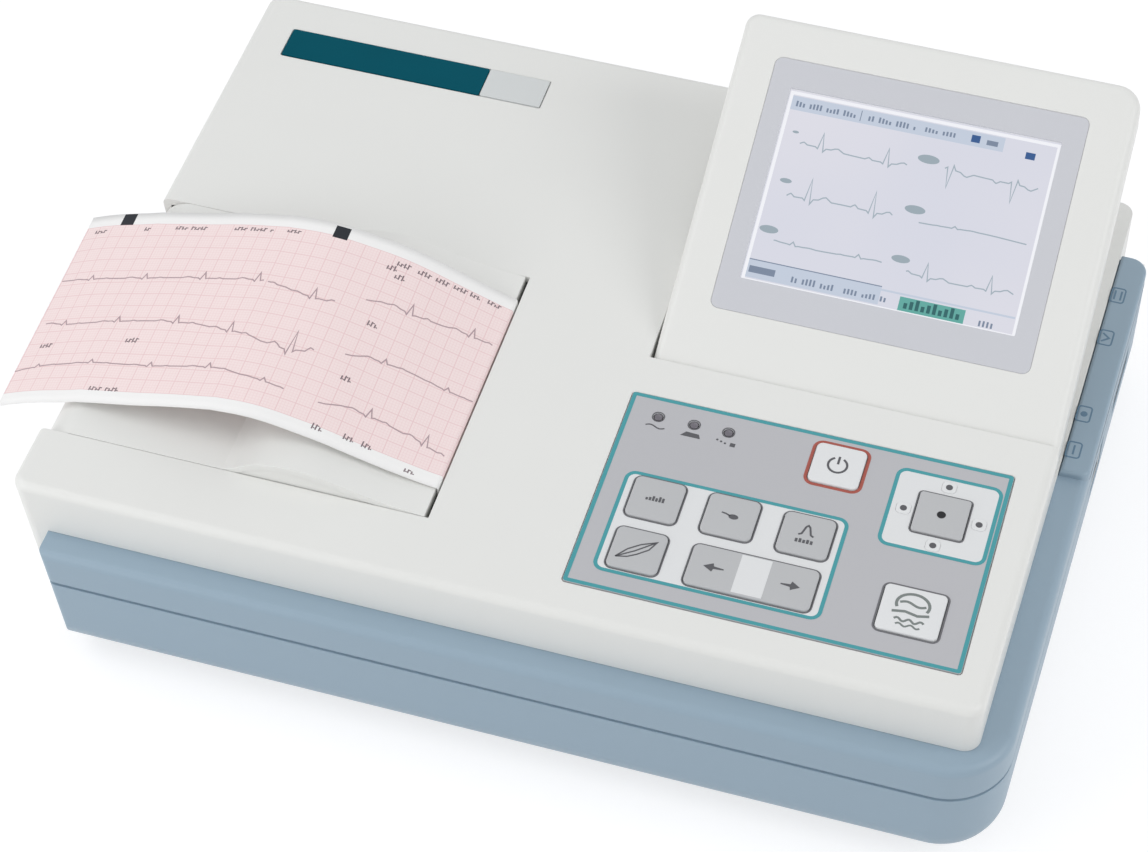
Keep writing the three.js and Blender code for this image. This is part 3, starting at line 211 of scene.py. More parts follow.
def rod(axis, u, v, radius, start, end, sides=32):
    """A round bar along an axis, whose middle is at u, v of the other two"""
    form = bmesh.new()
    bmesh.ops.create_cone(form, cap_ends=True, segments=sides, radius1=radius, radius2=radius,
                          depth=end - start)
    bmesh.ops.translate(form, vec=(0, 0, (start + end) / 2), verts=form.verts)
    bmesh.ops.transform(form, matrix=turns[axis], verts=form.verts)
    place = {"x": (0, u, v), "y": (u, 0, v), "z": (u, v, 0)}[axis]
    bmesh.ops.translate(form, vec=place, verts=form.verts)
    return form


def combine(form, *tools, by="DIFFERENCE"):
    """Cut, join or intersect a form with others, which are used up"""
    made = []
    for piece in (form, *tools):
        mesh = bpy.data.meshes.new("work")
        piece.to_mesh(mesh)
        piece.free()
        made.append(bpy.data.objects.new("work", mesh))
        bpy.context.scene.collection.objects.link(made[-1])
    for tool in made[1:]:
        step = made[0].modifiers.new("step", "BOOLEAN")
        step.operation, step.solver, step.object = by, "EXACT", tool
    result = bmesh.new()
    result.from_object(made[0], bpy.context.evaluated_depsgraph_get())
    for piece in made:
        mesh = piece.data
        bpy.data.objects.remove(piece)
        bpy.data.meshes.remove(mesh)
    return result


def together(*forms):
    """Several closed forms in one mesh"""
    mesh = bpy.data.meshes.new("work")
    result = bmesh.new()
    for form in forms:
        form.to_mesh(mesh)
        form.free()
        result.from_mesh(mesh)
    bpy.data.meshes.remove(mesh)
    return result


def fit(name, form, material, stands_for=(), *, edge, body=None, place=None, crease=38):
    """Make a form a finished piece: in place, with broken edges, on its body"""
    bmesh.ops.remove_doubles(form, verts=form.verts, dist=weld)
    bmesh.ops.dissolve_limit(form, angle_limit=flat_angle, use_dissolve_boundaries=False,
                             verts=form.verts, edges=form.edges)
    bmesh.ops.transform(form, matrix=place or to_part, verts=form.verts)
    piece = bpy.data.objects.new(name, bpy.data.meshes.new(name))
    form.to_mesh(piece.data)
    form.free()
    piece.data.materials.append(material)
    piece.data.shade_smooth()
    piece.data.set_sharp_from_angle(angle=math.radians(crease))
    bpy.context.scene.collection.objects.link(piece)
    if edge:
        broken = piece.modifiers.new("edges", "BEVEL")
        broken.width, broken.segments = edge / 1000, 2
        broken.limit_method, broken.angle_limit = "ANGLE", math.radians(crease)
        broken.use_clamp_overlap = False
        broken.miter_outer = "MITER_ARC"
        even = piece.modifiers.new("shading", "WEIGHTED_NORMAL")
        even.keep_sharp, even.weight = False, 100
    if stands_for:
        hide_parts(*stands_for)
    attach(piece, body or frame["nodes"][stands_for[0]]["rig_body"])
    return piece


def group(name, entries, results):
    """A node group with the given inputs and their values, and outputs"""
    tree = bpy.data.node_groups.new(name, "ShaderNodeTree")
    for socket, kind, value in entries:
        made = tree.interface.new_socket(socket, in_out="INPUT", socket_type="NodeSocket" + kind)
        made.default_value = value
    for socket, kind in results:
        tree.interface.new_socket(socket, in_out="OUTPUT", socket_type="NodeSocket" + kind)
    return tree


# moulded plastic: a fine spark-eroded grain with a faint change of tone
grain = group("moulded grain", [("Colour", "Color", (0.8, 0.8, 0.8, 1)), ("Roughness", "Float", 0.5),
                                ("Grain", "Float", 2200), ("Depth", "Float", 0.05), ("Tone", "Float", 0.02)],
              [("Colour", "Color"), ("Roughness", "Float"), ("Normal", "Vector")])
fill(grain, {
    "given": ("NodeGroupInput", {}), "out": ("NodeGroupOutput", {}), "where": ("TexCoord", {}),
    "fine": ("TexNoise", {"Detail": 3}), "broad": ("TexNoise", {"Scale": 28, "Detail": 4}),
    "bump": ("Bump", {"Distance": 0.0001}), "half tone": maths("MULTIPLY", -0.5),
    "tone": maths("MULTIPLY_ADD"), "brighter": maths("ADD", 1),
    "toned": ("VectorMath", {"operation": "SCALE"}),
    "least rough": maths("SUBTRACT", 0.06), "rough": maths("MULTIPLY_ADD", 0.12),
}, [("where", "Object", "fine", "Vector"), ("where", "Object", "broad", "Vector"),
    ("given", "Grain", "fine", "Scale"), ("fine", "Fac", "bump", "Height"),
    ("given", "Depth", "bump", "Strength"), ("broad", "Fac", "tone", 0), ("given", "Tone", "tone", 1),
    ("given", "Tone", "half tone", 0), ("half tone", 0, "tone", 2), ("tone", 0, "brighter", 0),
    ("given", "Colour", "toned", 0), ("brighter", 0, "toned", "Scale"), ("toned", 0, "out", "Colour"),
    ("given", "Roughness", "least rough", 0), ("broad", "Fac", "rough", 0), ("least rough", 0, "rough", 2),
    ("rough", 0, "out", "Roughness"), ("bump", "Normal", "out", "Normal")])


def tint(red, green, blue):
    """A colour as it is seen on a screen, 0 to 255, for a shader"""
    return tuple((value / 255) ** 2.2 for value in (red, green, blue)) + (1,)


def surface(name, settings):
    """A material whose shader has the given settings"""
    material = bpy.data.materials.new(name)
    material.use_nodes = True
    for key, value in settings.items():
        material.node_tree.nodes["Principled BSDF"].inputs[key].default_value = value
    return material


def plastic(name, colour, roughness=0.5, size=2200, depth=0.05, tone=0.02, metal=0.0, **more):
    material = surface(name, {"Metallic": metal, **more})
    fill(material.node_tree, {
        "finish": ("Group", {"node_tree": grain, "Colour": colour, "Roughness": roughness,
                             "Grain": size, "Depth": depth, "Tone": tone}),
    }, [("finish", "Colour", "Principled BSDF", "Base Color"),
        ("finish", "Roughness", "Principled BSDF", "Roughness"),
        ("finish", "Normal", "Principled BSDF", "Normal")])
    return material


blue_abs = plastic("gray-blue ABS", tint(152, 173, 189), roughness=0.42)
case_corner, bottom_round, rim_round, least_round = 20, 14, 3, 0.4
lean_share, taper = 0.1, 0.02
blue_start, blue_start_corner, blue_end, blue_end_corner = 8.4, 2.5, 205, 6
case_wall, floor_top, base_lip = 2.5, 6.5, 14


def draw_in(form):
    """Let the right-hand side of a block come inwards towards the front"""
    for vert in form.verts:
        if vert.co.x > body_x / 2:
            vert.co.x -= taper * (body_y - vert.co.y)
    return form


def leaning(form):
    """Lean the left side of a block inwards towards its foot, and draw in the right"""
    for vert in form.verts:
        if vert.co.x < body_x / 2:
            vert.co.x += lean_share * (top_z - rim_round - vert.co.z)
    return draw_in(form)


def case_form(inset):
    low, high = foot_z + inset, ledge_z - inset
    form = leaning(cube(inset, side_x - inset, front_y + inset, body_y - inset, low, high))
    round_off(form, case_corner - inset, 18,
              lambda a, b: abs(a.z - b.z) > 9 and min(a.x, b.x) > 99 and max(a.y, b.y) < 9)
    round_off(form, bottom_round - inset, 10, below(low))
    return round_off(form, max(rim_round - inset, least_round), 5, above(high))


def blue_zone(grow, z0, z1):
    """The room of the blue case in plan: it ends it at the left and behind"""
    over = grow + 0.02
    form = leaning(cube(blue_start - grow, side_x + over, front_y - over, blue_end + grow, z0, z1))
    round_off(form, max(blue_start_corner + grow, 0.3), 8,
              lambda a, b: abs(a.z - b.z) > 9 and max(a.x, b.x) < 99 and max(a.y, b.y) < 9)
    return round_off(form, blue_end_corner + grow, 10,
                     lambda a, b: abs(a.z - b.z) > 9 and min(a.x, b.x) > 99 and min(a.y, b.y) > 99)


def blue_form(inset):
    return combine(case_form(inset), blue_zone(-inset, foot_z - 1, ledge_z + 1), by="INTERSECT")


def parting_groove():
    under, over, deep = 0.4, 0.9, 0.9
    return combine(cube(*all_over, part_line - under, part_line + over), blue_form(deep))


inside_x, inside_y = body_x - 3.1, 3.1
screws = [("front_left", 26, 12, 67.2), ("front_right", 296, 12, 67.2),
          ("rear_left", 26, 192, 67.2), ("rear_right", 296, 192, 50.8)]
feet = [("front_left", 42, 24), ("front_right", 276, 24), ("rear_left", 42, 178), ("rear_right", 276, 178)]
battery = (184, 264, 102, 156)
patient_y, network_y, socket_z = 172, 134, 21.9
patient_half, network_half = 12.8, 8.3
post_radius, screw_bore, well_radius, well_top = 4.5, 1.8, 3.3, 15.5
hollow = combine(blue_form(case_wall), cube(-9, side_x, -12, body_y, 0, floor_top))
lower_case = combine(
    blue_form(0), hollow, cube(*all_over, part_line - gap / 2, 90),
    cube(-9, inside_x, inside_y, 240, foot_z + base_lip, 90))
lower_case = combine(lower_case, *[rod("z", x, y, post_radius, floor_top - gap, part_line - gap)
                                   for _, x, y, _ in screws], by="UNION")
lower_case = combine(
    lower_case,
    together(*[rod("z", x, y, well_radius, -1, well_top) for _, x, y, _ in screws],
             *[rod("z", x, y, 7.3, -1, 4.5, 48) for _, x, y in feet]),
    together(*[rod("z", x, y, screw_bore, 2, 50, 24) for _, x, y, _ in screws]),
    cube(*around(battery, gap), -1, 12),
    slab(*around(battery, 3.3), -1, 5.3, 1.5),
    cube(side_x - 9, side_x + 5, patient_y - patient_half, patient_y + patient_half,
         socket_z + 2.35, socket_z + 12.35),
    cube(side_x - 9, side_x + 5, network_y - network_half, network_y + network_half,
         socket_z - gap, socket_z + 13.7),
    parting_groove())
fit("lower_case", lower_case, blue_abs, ["base_shell"], edge=0.2)

# Upper case: the second gray-blue moulding, closed by the ledge round the white
# body. The raised connector panel is moulded on behind.
panel_y, panel_rise = 109, 2.5
panel_top = ledge_z + panel_rise
hollow = combine(blue_form(case_wall), draw_in(cube(-9, inside_x, inside_y, body_y, 0, 60)))
panel = draw_in(cube(body_x + gap, side_x, panel_y, blue_end, ledge_z - case_wall, panel_top))
round_off(panel, 6, 10, lambda a, b: abs(a.z - b.z) > 3 and min(a.x, b.x) > 308 and min(a.y, b.y) > 150)
round_off(panel, 3, 8, lambda a, b: abs(a.z - b.z) > 3 and min(a.x, b.x) > 308 and max(a.y, b.y) < 150)
round_off(panel, 1.2, 5, above(panel_top))
upper_case = combine(combine(blue_form(0), cube(*all_over, -5, part_line + gap / 2)), hollow)
upper_case = combine(combine(upper_case, panel, by="UNION"),
                     draw_in(cube(-9, inside_x, inside_y, 240, 0, 90)), parting_groove())
fit("upper_case", upper_case, blue_abs, ["side_belt"], edge=0.2)

# Top cover: one deep moulding in warm white ABS with the left and rear walls,
# sunk places for film and plates, and the deck and trough under the display.
white_abs = plastic("warm white ABS", tint(236, 236, 233), roughness=0.42, depth=0.04)
cover_wall, white_corner = 2.8, 5
hinge_y, hinge_z, display_half, display_left = 108.2, 61.5, 8.5, 172
close = 0.06  # between parts that are pressed together
bay_front, bay_back, slot_x = 23.4, 125.3, 124.9
film_field, film_top = (170.5, 289.8, 12.3, 88.5), 70.2
name_plate, small_plate, plates_field = (13.7, 84.1), (84.4, 105.4), (13.7, 105.4, 200, 212.9)
inlet_x, inlet_half = 60, 14.3


def white_form(inset):
    """The cover's outside, or its inside by its wall: one form gives its sides
    and rim, the other its rolled lower edges"""
    low, high = foot_z + inset, top_z - inset
    sides = leaning(cube(inset, body_x - inset, inset, body_y - inset, low - 2, high))
    round_off(sides, white_corner - inset, 12, lambda a, b: abs(a.z - b.z) > 9)
    round_off(sides, max(rim_round - inset, least_round), 6, above(high))
    over = inset - 0.02
    belly = leaning(cube(over, body_x - over, over, body_y - over, low, high + 2))
    round_off(belly, bottom_round - inset, 12, below(low))
    return combine(sides, belly, by="INTERSECT")


def display_room(grow):
    reach = display_half + 0.5 + grow
    left = display_left - 0.8 - grow
    return [rod("x", hinge_y, hinge_z, reach, left, 330, 64),
            cube(left, 330, hinge_y, 260, hinge_z - reach, 90),
            cube(left, 330, hinge_y - 4.5 - grow, hinge_y + gap, hinge_z, 90)]


def on_field(field, along, up):
    x0, x1, y0, y1 = field
    return x0 + along * (x1 - x0), y0 + up * (y1 - y0)


key_size, small_size, small_reach = (15.6, 15.4), (4.4, 4.4), 11.5
keys = {name: (on_field(film_field, along, up), *size) for name, along, up, size in (  # middle, width, depth
    ("lead_key", 0.153, 0.478, key_size), ("gain_key", 0.347, 0.478, key_size),
    ("filter_key", 0.542, 0.472, key_size), ("speed_key", 0.153, 0.215, key_size),
    ("power_key", 0.564, 0.848, key_size), ("print_key", 0.845, 0.228, (18.6, 16.8)),
    ("menu_key", 0.85, 0.719, key_size), ("arrow_rocker", 0.445, 0.215, (38.2, 15.4)))}
menu_x, menu_y = keys["menu_key"][0]
small_keys = {"up_key": (0, 1), "down_key": (0, -1), "left_key": (-1, 0), "right_key": (1, 0)}
for name, (right, back) in small_keys.items():
    keys[name] = ((menu_x + right * small_reach, menu_y + back * small_reach), *small_size)
key_corners = {"menu_key": 1.0, "print_key": 1.6}
lights, light_radius = [on_field(film_field, along, 0.897) for along in (0.085, 0.18, 0.271)], 1.6
bracket_lefts = [display_left + share * (body_x - display_left) for share in (0.175, 0.753)]


def key_field(name, grow):
    (x, y), width, depth = keys[name]
    return around((x - width / 2, x + width / 2, y - depth / 2, y + depth / 2), grow)


def key_plate(name, grow, z0, z1):
    return slab(*key_field(name, grow), z0, z1, key_corners.get(name, min(2, keys[name][2] / 3)) + grow)


hollow = combine(white_form(cover_wall), *display_room(cover_wall))
cover = combine(
    white_form(0), *display_room(0), hollow,
    blue_zone(close, foot_z - 5, ledge_z + close),
    cube(-9, slot_x + 0.6, bay_front, bay_back, 50, 90))
cover = combine(
    cover,
    slab(*around(film_field, gap), film_top - 1.1, 90, 1.3),
    slab(*around(plates_field, gap), 69.2, 90, 0.6),
    slab(inlet_x - inlet_half, inlet_x + inlet_half, 220, 234, 21.2, 42.8, 0),
    together(*[key_plate(name, 0.35, 60, 69.9) for name in keys]),
    together(*[rod("z", x, y, light_radius, 60, 69.9, 24) for x, y in lights]),
    together(*[cube(left - 0.6, left + 8.6, hinge_y - 3.6, hinge_y + 3.6, 45, hinge_z)
               for left in bracket_lefts]))
posts = combine(together(*[rod("z", x, y, 4, part_line + gap, top + gap, 24) for _, x, y, top in screws]),
                white_form(0.5), by="INTERSECT")
posts = combine(posts, together(*[rod("z", x, y, screw_bore, 30, 49.8, 24) for _, x, y, _ in screws]))
cover = combine(cover, posts, by="UNION")
fit("cover", cover, white_abs, ["top_cover"], edge=0.2)

# Name plate and small plate: printed metallised film in sunk places near the
# rear left corner, both bare of words.
teal_print = plastic("teal metallised film", tint(0, 84, 99), depth=0.02, tone=0.3,
                     **{"Specular IOR Level": 0.06})
pale_print = plastic("pale silver film", tint(217, 220, 220), roughness=0.38, depth=0.02)
for name, (x0, x1), paint in (("name_plate", name_plate, teal_print),
                              ("small_plate", small_plate, pale_print)):
    fit(name + "_film", slab(x0, x1, *plates_field[2:], 69.5, 70.3, 0.5, 3), paint, [name], edge=0.12)

# Key film: gray polycarbonate with a hole for each key. Its white fields and
# teal lines are screen-printed on it.
gray_film = plastic("gray film", tint(190, 190, 194), roughness=0.46, size=3000, depth=0.03)
white_ink = plastic("white ink", tint(230, 231, 232), depth=0.02, tone=0.01)
teal_ink = plastic("teal ink", tint(72, 158, 166), roughness=0.45, depth=0.02, tone=0.01)
dark_ink = plastic("dark gray ink", tint(92, 92, 96), depth=0.02, tone=0.01)
line_ink = plastic("line gray ink", tint(112, 112, 116), depth=0.02, tone=0.01)
red_ink = plastic("red-brown ink", tint(172, 88, 76), depth=0.02, tone=0.01)
ink, ring_start, field_corner = 0.05, 0.25, 3.4
mode_field, arrow_field = (177.3, 246.5, 18.9, 58.2), (255.4, 288.1, 51.9, 82.6)


def printed(name, material, *forms, body="body", slot="dark_plastic", place=None):
    """Forms printed on a body as one piece"""
    fit(name, together(*forms), material, body=body, place=place, edge=0)


def outline(field, corner, line, z, steps=6):
    """A printed line round a rounded field"""
    return combine(slab(*field, z - ink, z + ink, corner, steps),
                   slab(*around(field, -line), z - 1, z + 1, max(corner - line, 0.2), steps))


def key_ring(name, line, z):
    reach = ring_start + line
    return outline(key_field(name, reach), key_corners.get(name, 2) + reach, line, z)


def key_holes(names):
    return together(*[key_plate(name, 0.07 if name in small_keys else 0.25, 60, 90) for name in names])


def white_field(field):
    x0, x1, y0, y1 = field
    inside = [name for name, ((x, y), _, _) in keys.items() if x0 < x < x1 and y0 < y < y1]
    return combine(slab(*field, film_top - ink, film_top + 0.6 * ink, field_corner), key_holes(inside))


film = combine(slab(*film_field, film_top - 0.8, film_top, 1), key_holes(keys),
               together(*[rod("z", x, y, light_radius, 60, 90, 24) for x, y in lights]))
fit("key_film_sheet", film, gray_film, ["key_film"], edge=0.08)
printed("white_fields", white_ink, white_field(mode_field), white_field(arrow_field), slot="key_white")
printed("teal_lines", teal_ink, outline(around(film_field, -0.1), 0.9, 1.25, film_top),
        *[outline(field, field_corner, 1.2, film_top) for field in (mode_field, arrow_field)],
        slot="teal_plate")
printed("key_lines", line_ink, *[key_ring(name, 0.4, film_top + ink) for name in (
    "lead_key", "gain_key", "filter_key", "speed_key", "arrow_rocker", "menu_key")],
        key_ring("print_key", 0.6, film_top))
printed("power_line", red_ink, key_ring("power_key", 1.0, film_top))

# Keys: caps of satin ABS that stand just above the film, each with a flange
# that keeps it in and a stem to its switch.
key_gray = plastic("key gray", tint(192, 193, 195), roughness=0.45, size=3000, depth=0.03)
key_white = plastic("key white", tint(232, 233, 234), roughness=0.45, size=3000, depth=0.03)
key_top, small_top, flange_top = 71.0, film_top + 0.12, 66.9
white_keys = {"power_key", "print_key", *small_keys}
for name, ((x, y), _, _) in keys.items():
    low, stem_end = (flange_top - 1, 63.9) if name == "arrow_rocker" else (flange_top, 65.1)
    top, soft = (small_top, 0.04) if name in small_keys else (key_top, 0.5)
    cap = round_off(key_plate(name, 0, low - 0.5, top), soft, 4, above(top))
    flange = key_plate(name, 0.55, low - 1.4, low)
    fit(name + "_cap", together(cap, flange, rod("z", x, y, 1.8, stem_end, low, 16)),
        key_white if name in white_keys else key_gray, [name], edge=0)


def thicken(form, faces, step):
    """Give faces of a form a thickness"""
    made = bmesh.ops.extrude_face_region(form, geom=faces)
    bmesh.ops.translate(form, vec=step,
                        verts=[v for v in made["geom"] if isinstance(v, bmesh.types.BMVert)])
    bmesh.ops.recalc_face_normals(form, faces=form.faces)
    return form


def shape(points, z):
    """A printed patch with the given outline"""
    form = bmesh.new()
    face = form.faces.new([form.verts.new((x, y, z + ink)) for x, y in points])
    return thicken(form, [face], (0, 0, -2 * ink))


def both_sides(points, width):
    """The left and right edge of a line of one width, with mitred bends"""
    points = [Vector(point) for point in points]
    left, right = [], []
    for i, point in enumerate(points):
        ways = [(b - a).normalized() for a, b in zip(points[max(i - 1, 0):], points[max(i, 1):i + 2])]
        mitre = (ways[0] + ways[-1]).normalized()
        side = Vector((-mitre.y, mitre.x)) * width / 2 / max(mitre.dot(ways[0]), 0.3)
        left.append(point + side)
        right.append(point - side)
    return left, right


def stroke(points, width, z):
    """A printed line of one width through points"""
    left, right = both_sides(points, width)
    return shape([*right, *reversed(left)], z)


def arc(x, y, radius, start, end, count, squash=1.0):
    """Points along an arc between two angles in degrees"""
    turned = [math.radians(start + (end - start) * i / count) for i in range(count + 1)]
    return [(x + radius * math.cos(angle), y + squash * radius * math.sin(angle)) for angle in turned]


def spot(x, y, radius, z, squash=1.0):
    return shape(arc(x, y, radius, 0, 345, 23, squash), z)


def wave(x0, x1, y, height, turns):
    return [(x0 + (x1 - x0) * i / 24, y + height * math.sin(turns * 2 * math.pi * i / 24)) for i in range(25)]


def box(x0, x1, y0, y1, z):
    return shape([(x0, y0), (x1, y0), (x1, y1), (x0, y1)], z)


def ticks(x, y, heights, pitch, width):
    """A short row of plain upright marks in place of a word"""
    return [box(x + i * pitch, x + i * pitch + width, y, y + height, key_top)
            for i, height in enumerate(heights)]


leaf = [(-5.6, -4.0), (-2.8, -0.4), (0.6, 2.2), (5.0, 4.2), (3.4, 0.9), (0.4, -1.6), (-2.2, -3.2)]
signs = {  # drawn round each key's middle
    "lead_key": ticks(-3.0, -0.9, (0.9, 1.2, 1.8, 1.3, 2.0, 1.7), 1.0, 0.7),
    "gain_key": [spot(0.9, 0, 1.5, key_top, 0.62),
                 stroke([(-2.9, 0.9), (-1.6, 0.7), (-0.2, 0.2)], 0.5, key_top)],
    "filter_key": [stroke([(-2.3, -0.3), (-1.4, 0.2), (-0.6, 3.0), (0, 3.6), (0.6, 3.0), (1.4, 0.2),
                           (2.3, -0.3)], 0.6, key_top),
                   *ticks(-2.8, -3.2, (1.3, 1.5, 1.2, 1.5, 1.3), 1.15, 0.8)],
    "speed_key": [stroke([*leaf, leaf[0]], 0.45, key_top),
                  stroke([(-5.0, -3.6), (-0.6, -0.6), (4.4, 3.7)], 0.45, key_top)],
    "power_key": [stroke(arc(0, 0, 2.9, 118, 422, 36), 0.7, key_top),
                  stroke([(0, 0.4), (0, 3.4)], 0.7, key_top)],
    "print_key": [stroke(arc(0, 2.2, 4.9, 205, -25, 22, 0.8), 0.9, key_top),
                  stroke(wave(-3.9, 3.9, 2.4, 0.6, 1), 0.8, key_top),
                  stroke([(-5.6, -1.3), (-1.8, -0.6), (2.0, -1.4), (5.4, -0.6)], 0.9, key_top),
                  stroke(wave(-4.4, 4.4, -3.8, 0.55, 2.5), 0.7, key_top),
                  stroke(wave(-3.6, 3.6, -5.6, 0.45, 2), 0.6, key_top)],
    "menu_key": [spot(0, 0, 1.35, key_top)],
    **{name: [spot(0, 0, 1.05, small_top)] for name in sorted(small_keys)},
    "arrow_rocker": [shape([(-14.6, 0), (-11.8, 1.6), (-11.5, 0.5), (-8.4, 0.2), (-8.4, -0.2), (-11.5, -0.5),
                            (-11.8, -1.6)], key_top),
                     shape([(14.6, 0), (12.0, -1.6), (11.7, -0.5), (8.8, -0.2), (8.8, 0.2), (11.7, 0.5),
                            (12.0, 1.6)], key_top)]}
sign_inks = {"print_key": plastic("gray ink", tint(126, 133, 131)),
             "menu_key": plastic("black ink", tint(30, 30, 34))}
for name, forms in signs.items():
    for form in forms:
        bmesh.ops.translate(form, vec=(*keys[name][0], 0), verts=form.verts)
    printed(name + "_sign", sign_inks.get(name, dark_ink), *forms, body=frame["nodes"][name]["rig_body"])
x, y = keys["arrow_rocker"][0]
printed("rocker_middle", white_ink,
        slab(x - 4.5, x + 4.7, y - 7.1, y + 7.1, key_top - ink, key_top + ink, 0.2),
        body=frame["nodes"]["arrow_rocker"]["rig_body"], slot="key_white")

# Status lights: three smoked light pipes of one clear comb, with a small sign
# printed under each.
smoked = plastic("smoked light pipe", tint(112, 108, 116), roughness=0.25, depth=0.0, **{"Coat Weight": 0.4})
(x1, y1), (x2, y2), (x3, y3) = lights
comb = together(cube(*around((x1, x3, y1, y1), 1.3), 65.4, flange_top),
                *[round_off(rod("z", x, y, 1.3, 66.6, film_top), 0.3, 3, above(film_top)) for x, y in lights])
fit("light_pipes", comb, smoked, ["light_comb"], edge=0)
printed(
    "light_signs", dark_ink,
    *[outline(around((x, x, y, y), 2.0), 1.9, 0.35, film_top, steps=12) for x, y in lights],
    stroke(wave(x1 - 3.0, x1 + 3.0, y1 - 4.0, 0.5, 1), 0.45, film_top),
    shape([(x2 - 3.1, y2 - 5.0), (x2 + 3.1, y2 - 5.0), (x2 + 2.4, y2 - 3.4), (x2 - 1.6, y2 - 3.2)], film_top),
    box(x3 + 1.6, x3 + 3.2, y3 - 5.2, y3 - 3.8, film_top),
    *[spot(x3 - 2.6 + step * 1.3, y3 - 3.6 - step * 0.4, 0.35, film_top) for step in range(3)])

# Display: two white half shells screwed together round the screen, drawn in the
# hinge's own frame, where y runs up the face and z stands out of it.
to_display = (to_part @ Matrix.Translation((0, hinge_y, hinge_z))
              @ Matrix.Rotation(math.radians(24.12), 4, "X"))
display_right, display_end = 300.6, 120.5
display_wall, face_round = 2.2, 3
display_corners = {"left": 4.5, "right": 8}
bezel = (185, 286.3, 20.1, 106.6)
screen = (192, 279.3, 31.4, 96.9)


def display_form(inset):
    half = display_half - inset
    form = cube(display_left + inset, display_right - inset, -half, display_end - inset, -half, half)
    round_off(form, half, 12, lambda a, b: max(a.y, b.y) < -half + 0.1 and abs(a.x - b.x) > 9)
    bmesh.ops.remove_doubles(form, verts=form.verts, dist=0.01)
    for side, corner in display_corners.items():
        round_off(form, corner - inset, 10,
                  lambda a, b: min(a.y, b.y) > 90 and abs(a.z - b.z) > 9 and (a.x > 240) == (side == "right"))
    sharp = [edge for edge in form.edges if len(edge.link_faces) == 2
             and edge.calc_face_angle() > math.radians(60)]
    return soften(form, sharp, max(face_round - inset, least_round), 6)


bezel_top, bezel_corner = display_half - 0.2, 2.6
display_front = combine(
    display_form(0), cube(160, 330, -20, 140, -20, gap / 2), display_form(display_wall),
    slab(*around(screen, gap), 0, 20, 0.6),
    slab(*around(bezel, close), bezel_top - 1.0, 20, bezel_corner + close, 8))
fit("display_frame", display_front, white_abs, ["display_front"], place=to_display, edge=0.3)
display_back = combine(
    display_form(0), cube(160, 330, -20, 140, -gap / 2, 20), display_form(display_wall),
    together(*[cube(left - 0.6, left + 8.6, -20, 4, -20, 0) for left in bracket_lefts]))
display_back = combine(display_back, *[cube(left + 8.6, left + 15.6, 6.7, 24, -6.6, -4.8)
                                       for left in bracket_lefts], by="UNION")
fit("display_rear", display_back, white_abs, ["display_back"], place=to_display, edge=0.3)
bezel_gray = plastic("bezel gray", tint(208, 209, 215), roughness=0.4, size=3000, depth=0.03)
bezel_form = combine(slab(*bezel, bezel_top - 0.7, bezel_top, bezel_corner, 8), slab(*screen, 0, 20, 0.4, 3))
fit("screen_frame", bezel_form, bezel_gray, ["display_bezel"], place=to_display, edge=0.12)

# Screen: a lit panel behind a clear hard face. It shows six short heart traces
# between a head line and a foot line, with plain marks in place of words.
screen_top, screen_shine = 6.0, 0.92
screen_width, screen_height = screen[1] - screen[0], screen[3] - screen[2]
glass = plastic("screen glass", tint(20, 22, 26), roughness=0.12, depth=0.0,
                **{"Emission Strength": screen_shine})
fill(glass.node_tree, {
    "place": ("TexCoord", {}), "tone": ("TexNoise", {"Scale": 14}),
    "ramp": ("Mix", {"data_type": "RGBA", "A": tint(214, 217, 231), "B": tint(230, 228, 236)}),
}, [("place", "Object", "tone", "Vector"), ("tone", "Fac", "ramp", "Factor"),
    ("ramp", "Result", "Principled BSDF", "Emission Color")])
fit("screen_panel", cube(*around(screen, 3.5), screen_top - 8, screen_top), glass, ["screen_module"],
    place=to_display, edge=0.2)


def shown(name, colour, *forms):
    """Forms that shine in one colour on the screen"""
    paint = surface(name.replace("_", " "), {
        "Base Color": (0.02, 0.02, 0.025, 1), "Roughness": 0.15,
        "Emission Color": colour, "Emission Strength": screen_shine})
    printed(name, paint, *forms, body="display", slot="screen", place=to_display)


def patch(along0, along1, up0, up1, lift=0.0):
    (x0, y0), (x1, y1) = on_field(screen, along0, up0), on_field(screen, along1, up1)
    return box(x0, x1, y0, y1, screen_top + lift)


def word(along0, along1, up, height):
    """A row of small uneven marks where the screen has a word"""
    count = max(int((along1 - along0) * screen_width / 1.1), 2)
    forms = []
    for i in range(count):
        tall = height * (0.55 + 0.45 * abs(math.sin(2.7 * i + 40 * along0)))
        if (i + round(along0 * 40)) % 5 != 4:
            start = along0 + (along1 - along0) * i / count
            forms.append(patch(start, start + 0.0072, up, up + tall, ink))
    return forms


beat_line = [(-6.8, 0), (-6.2, 0.08), (-5.6, 0.14), (-5.0, 0.08), (-4.4, 0), (-1.7, 0), (-0.9, -0.1),
             (0, 1), (0.95, -0.24), (1.8, 0), (3.4, 0.03), (4.6, 0.16), (5.6, 0.2), (6.6, 0.1), (7.6, 0)]


def heart_line(start, end, beats, level):
    """A heart trace as points of run and rise, in millimetres: it keeps to its
    level, with a low wave before and after each sharp beat"""
    steps = int((end - start) / 2.2)
    plain = [start + (end - start) * i / steps for i in range(steps + 1)]
    knots = [(along, 0) for along in plain if all(abs(along - beat) > 8.5 for beat, _ in beats)]
    knots += [(beat + along, rise * height) for beat, height in beats for along, rise in beat_line
              if start < beat + along < end]
    return [(along, level(along) + rise) for along, rise in sorted(knots)]


def heart_trace(along0, along1, up, beats, height):
    x, y = on_field(screen, 0, up)
    points = heart_line(along0 * screen_width, along1 * screen_width,
                        [(beat * screen_width, height * screen_height) for beat in beats],
                        lambda along: 0.35 * math.sin(along / 7 + 9 * up))
    return stroke([(x + along, y + rise) for along, rise in points], 0.4, screen_top + ink)


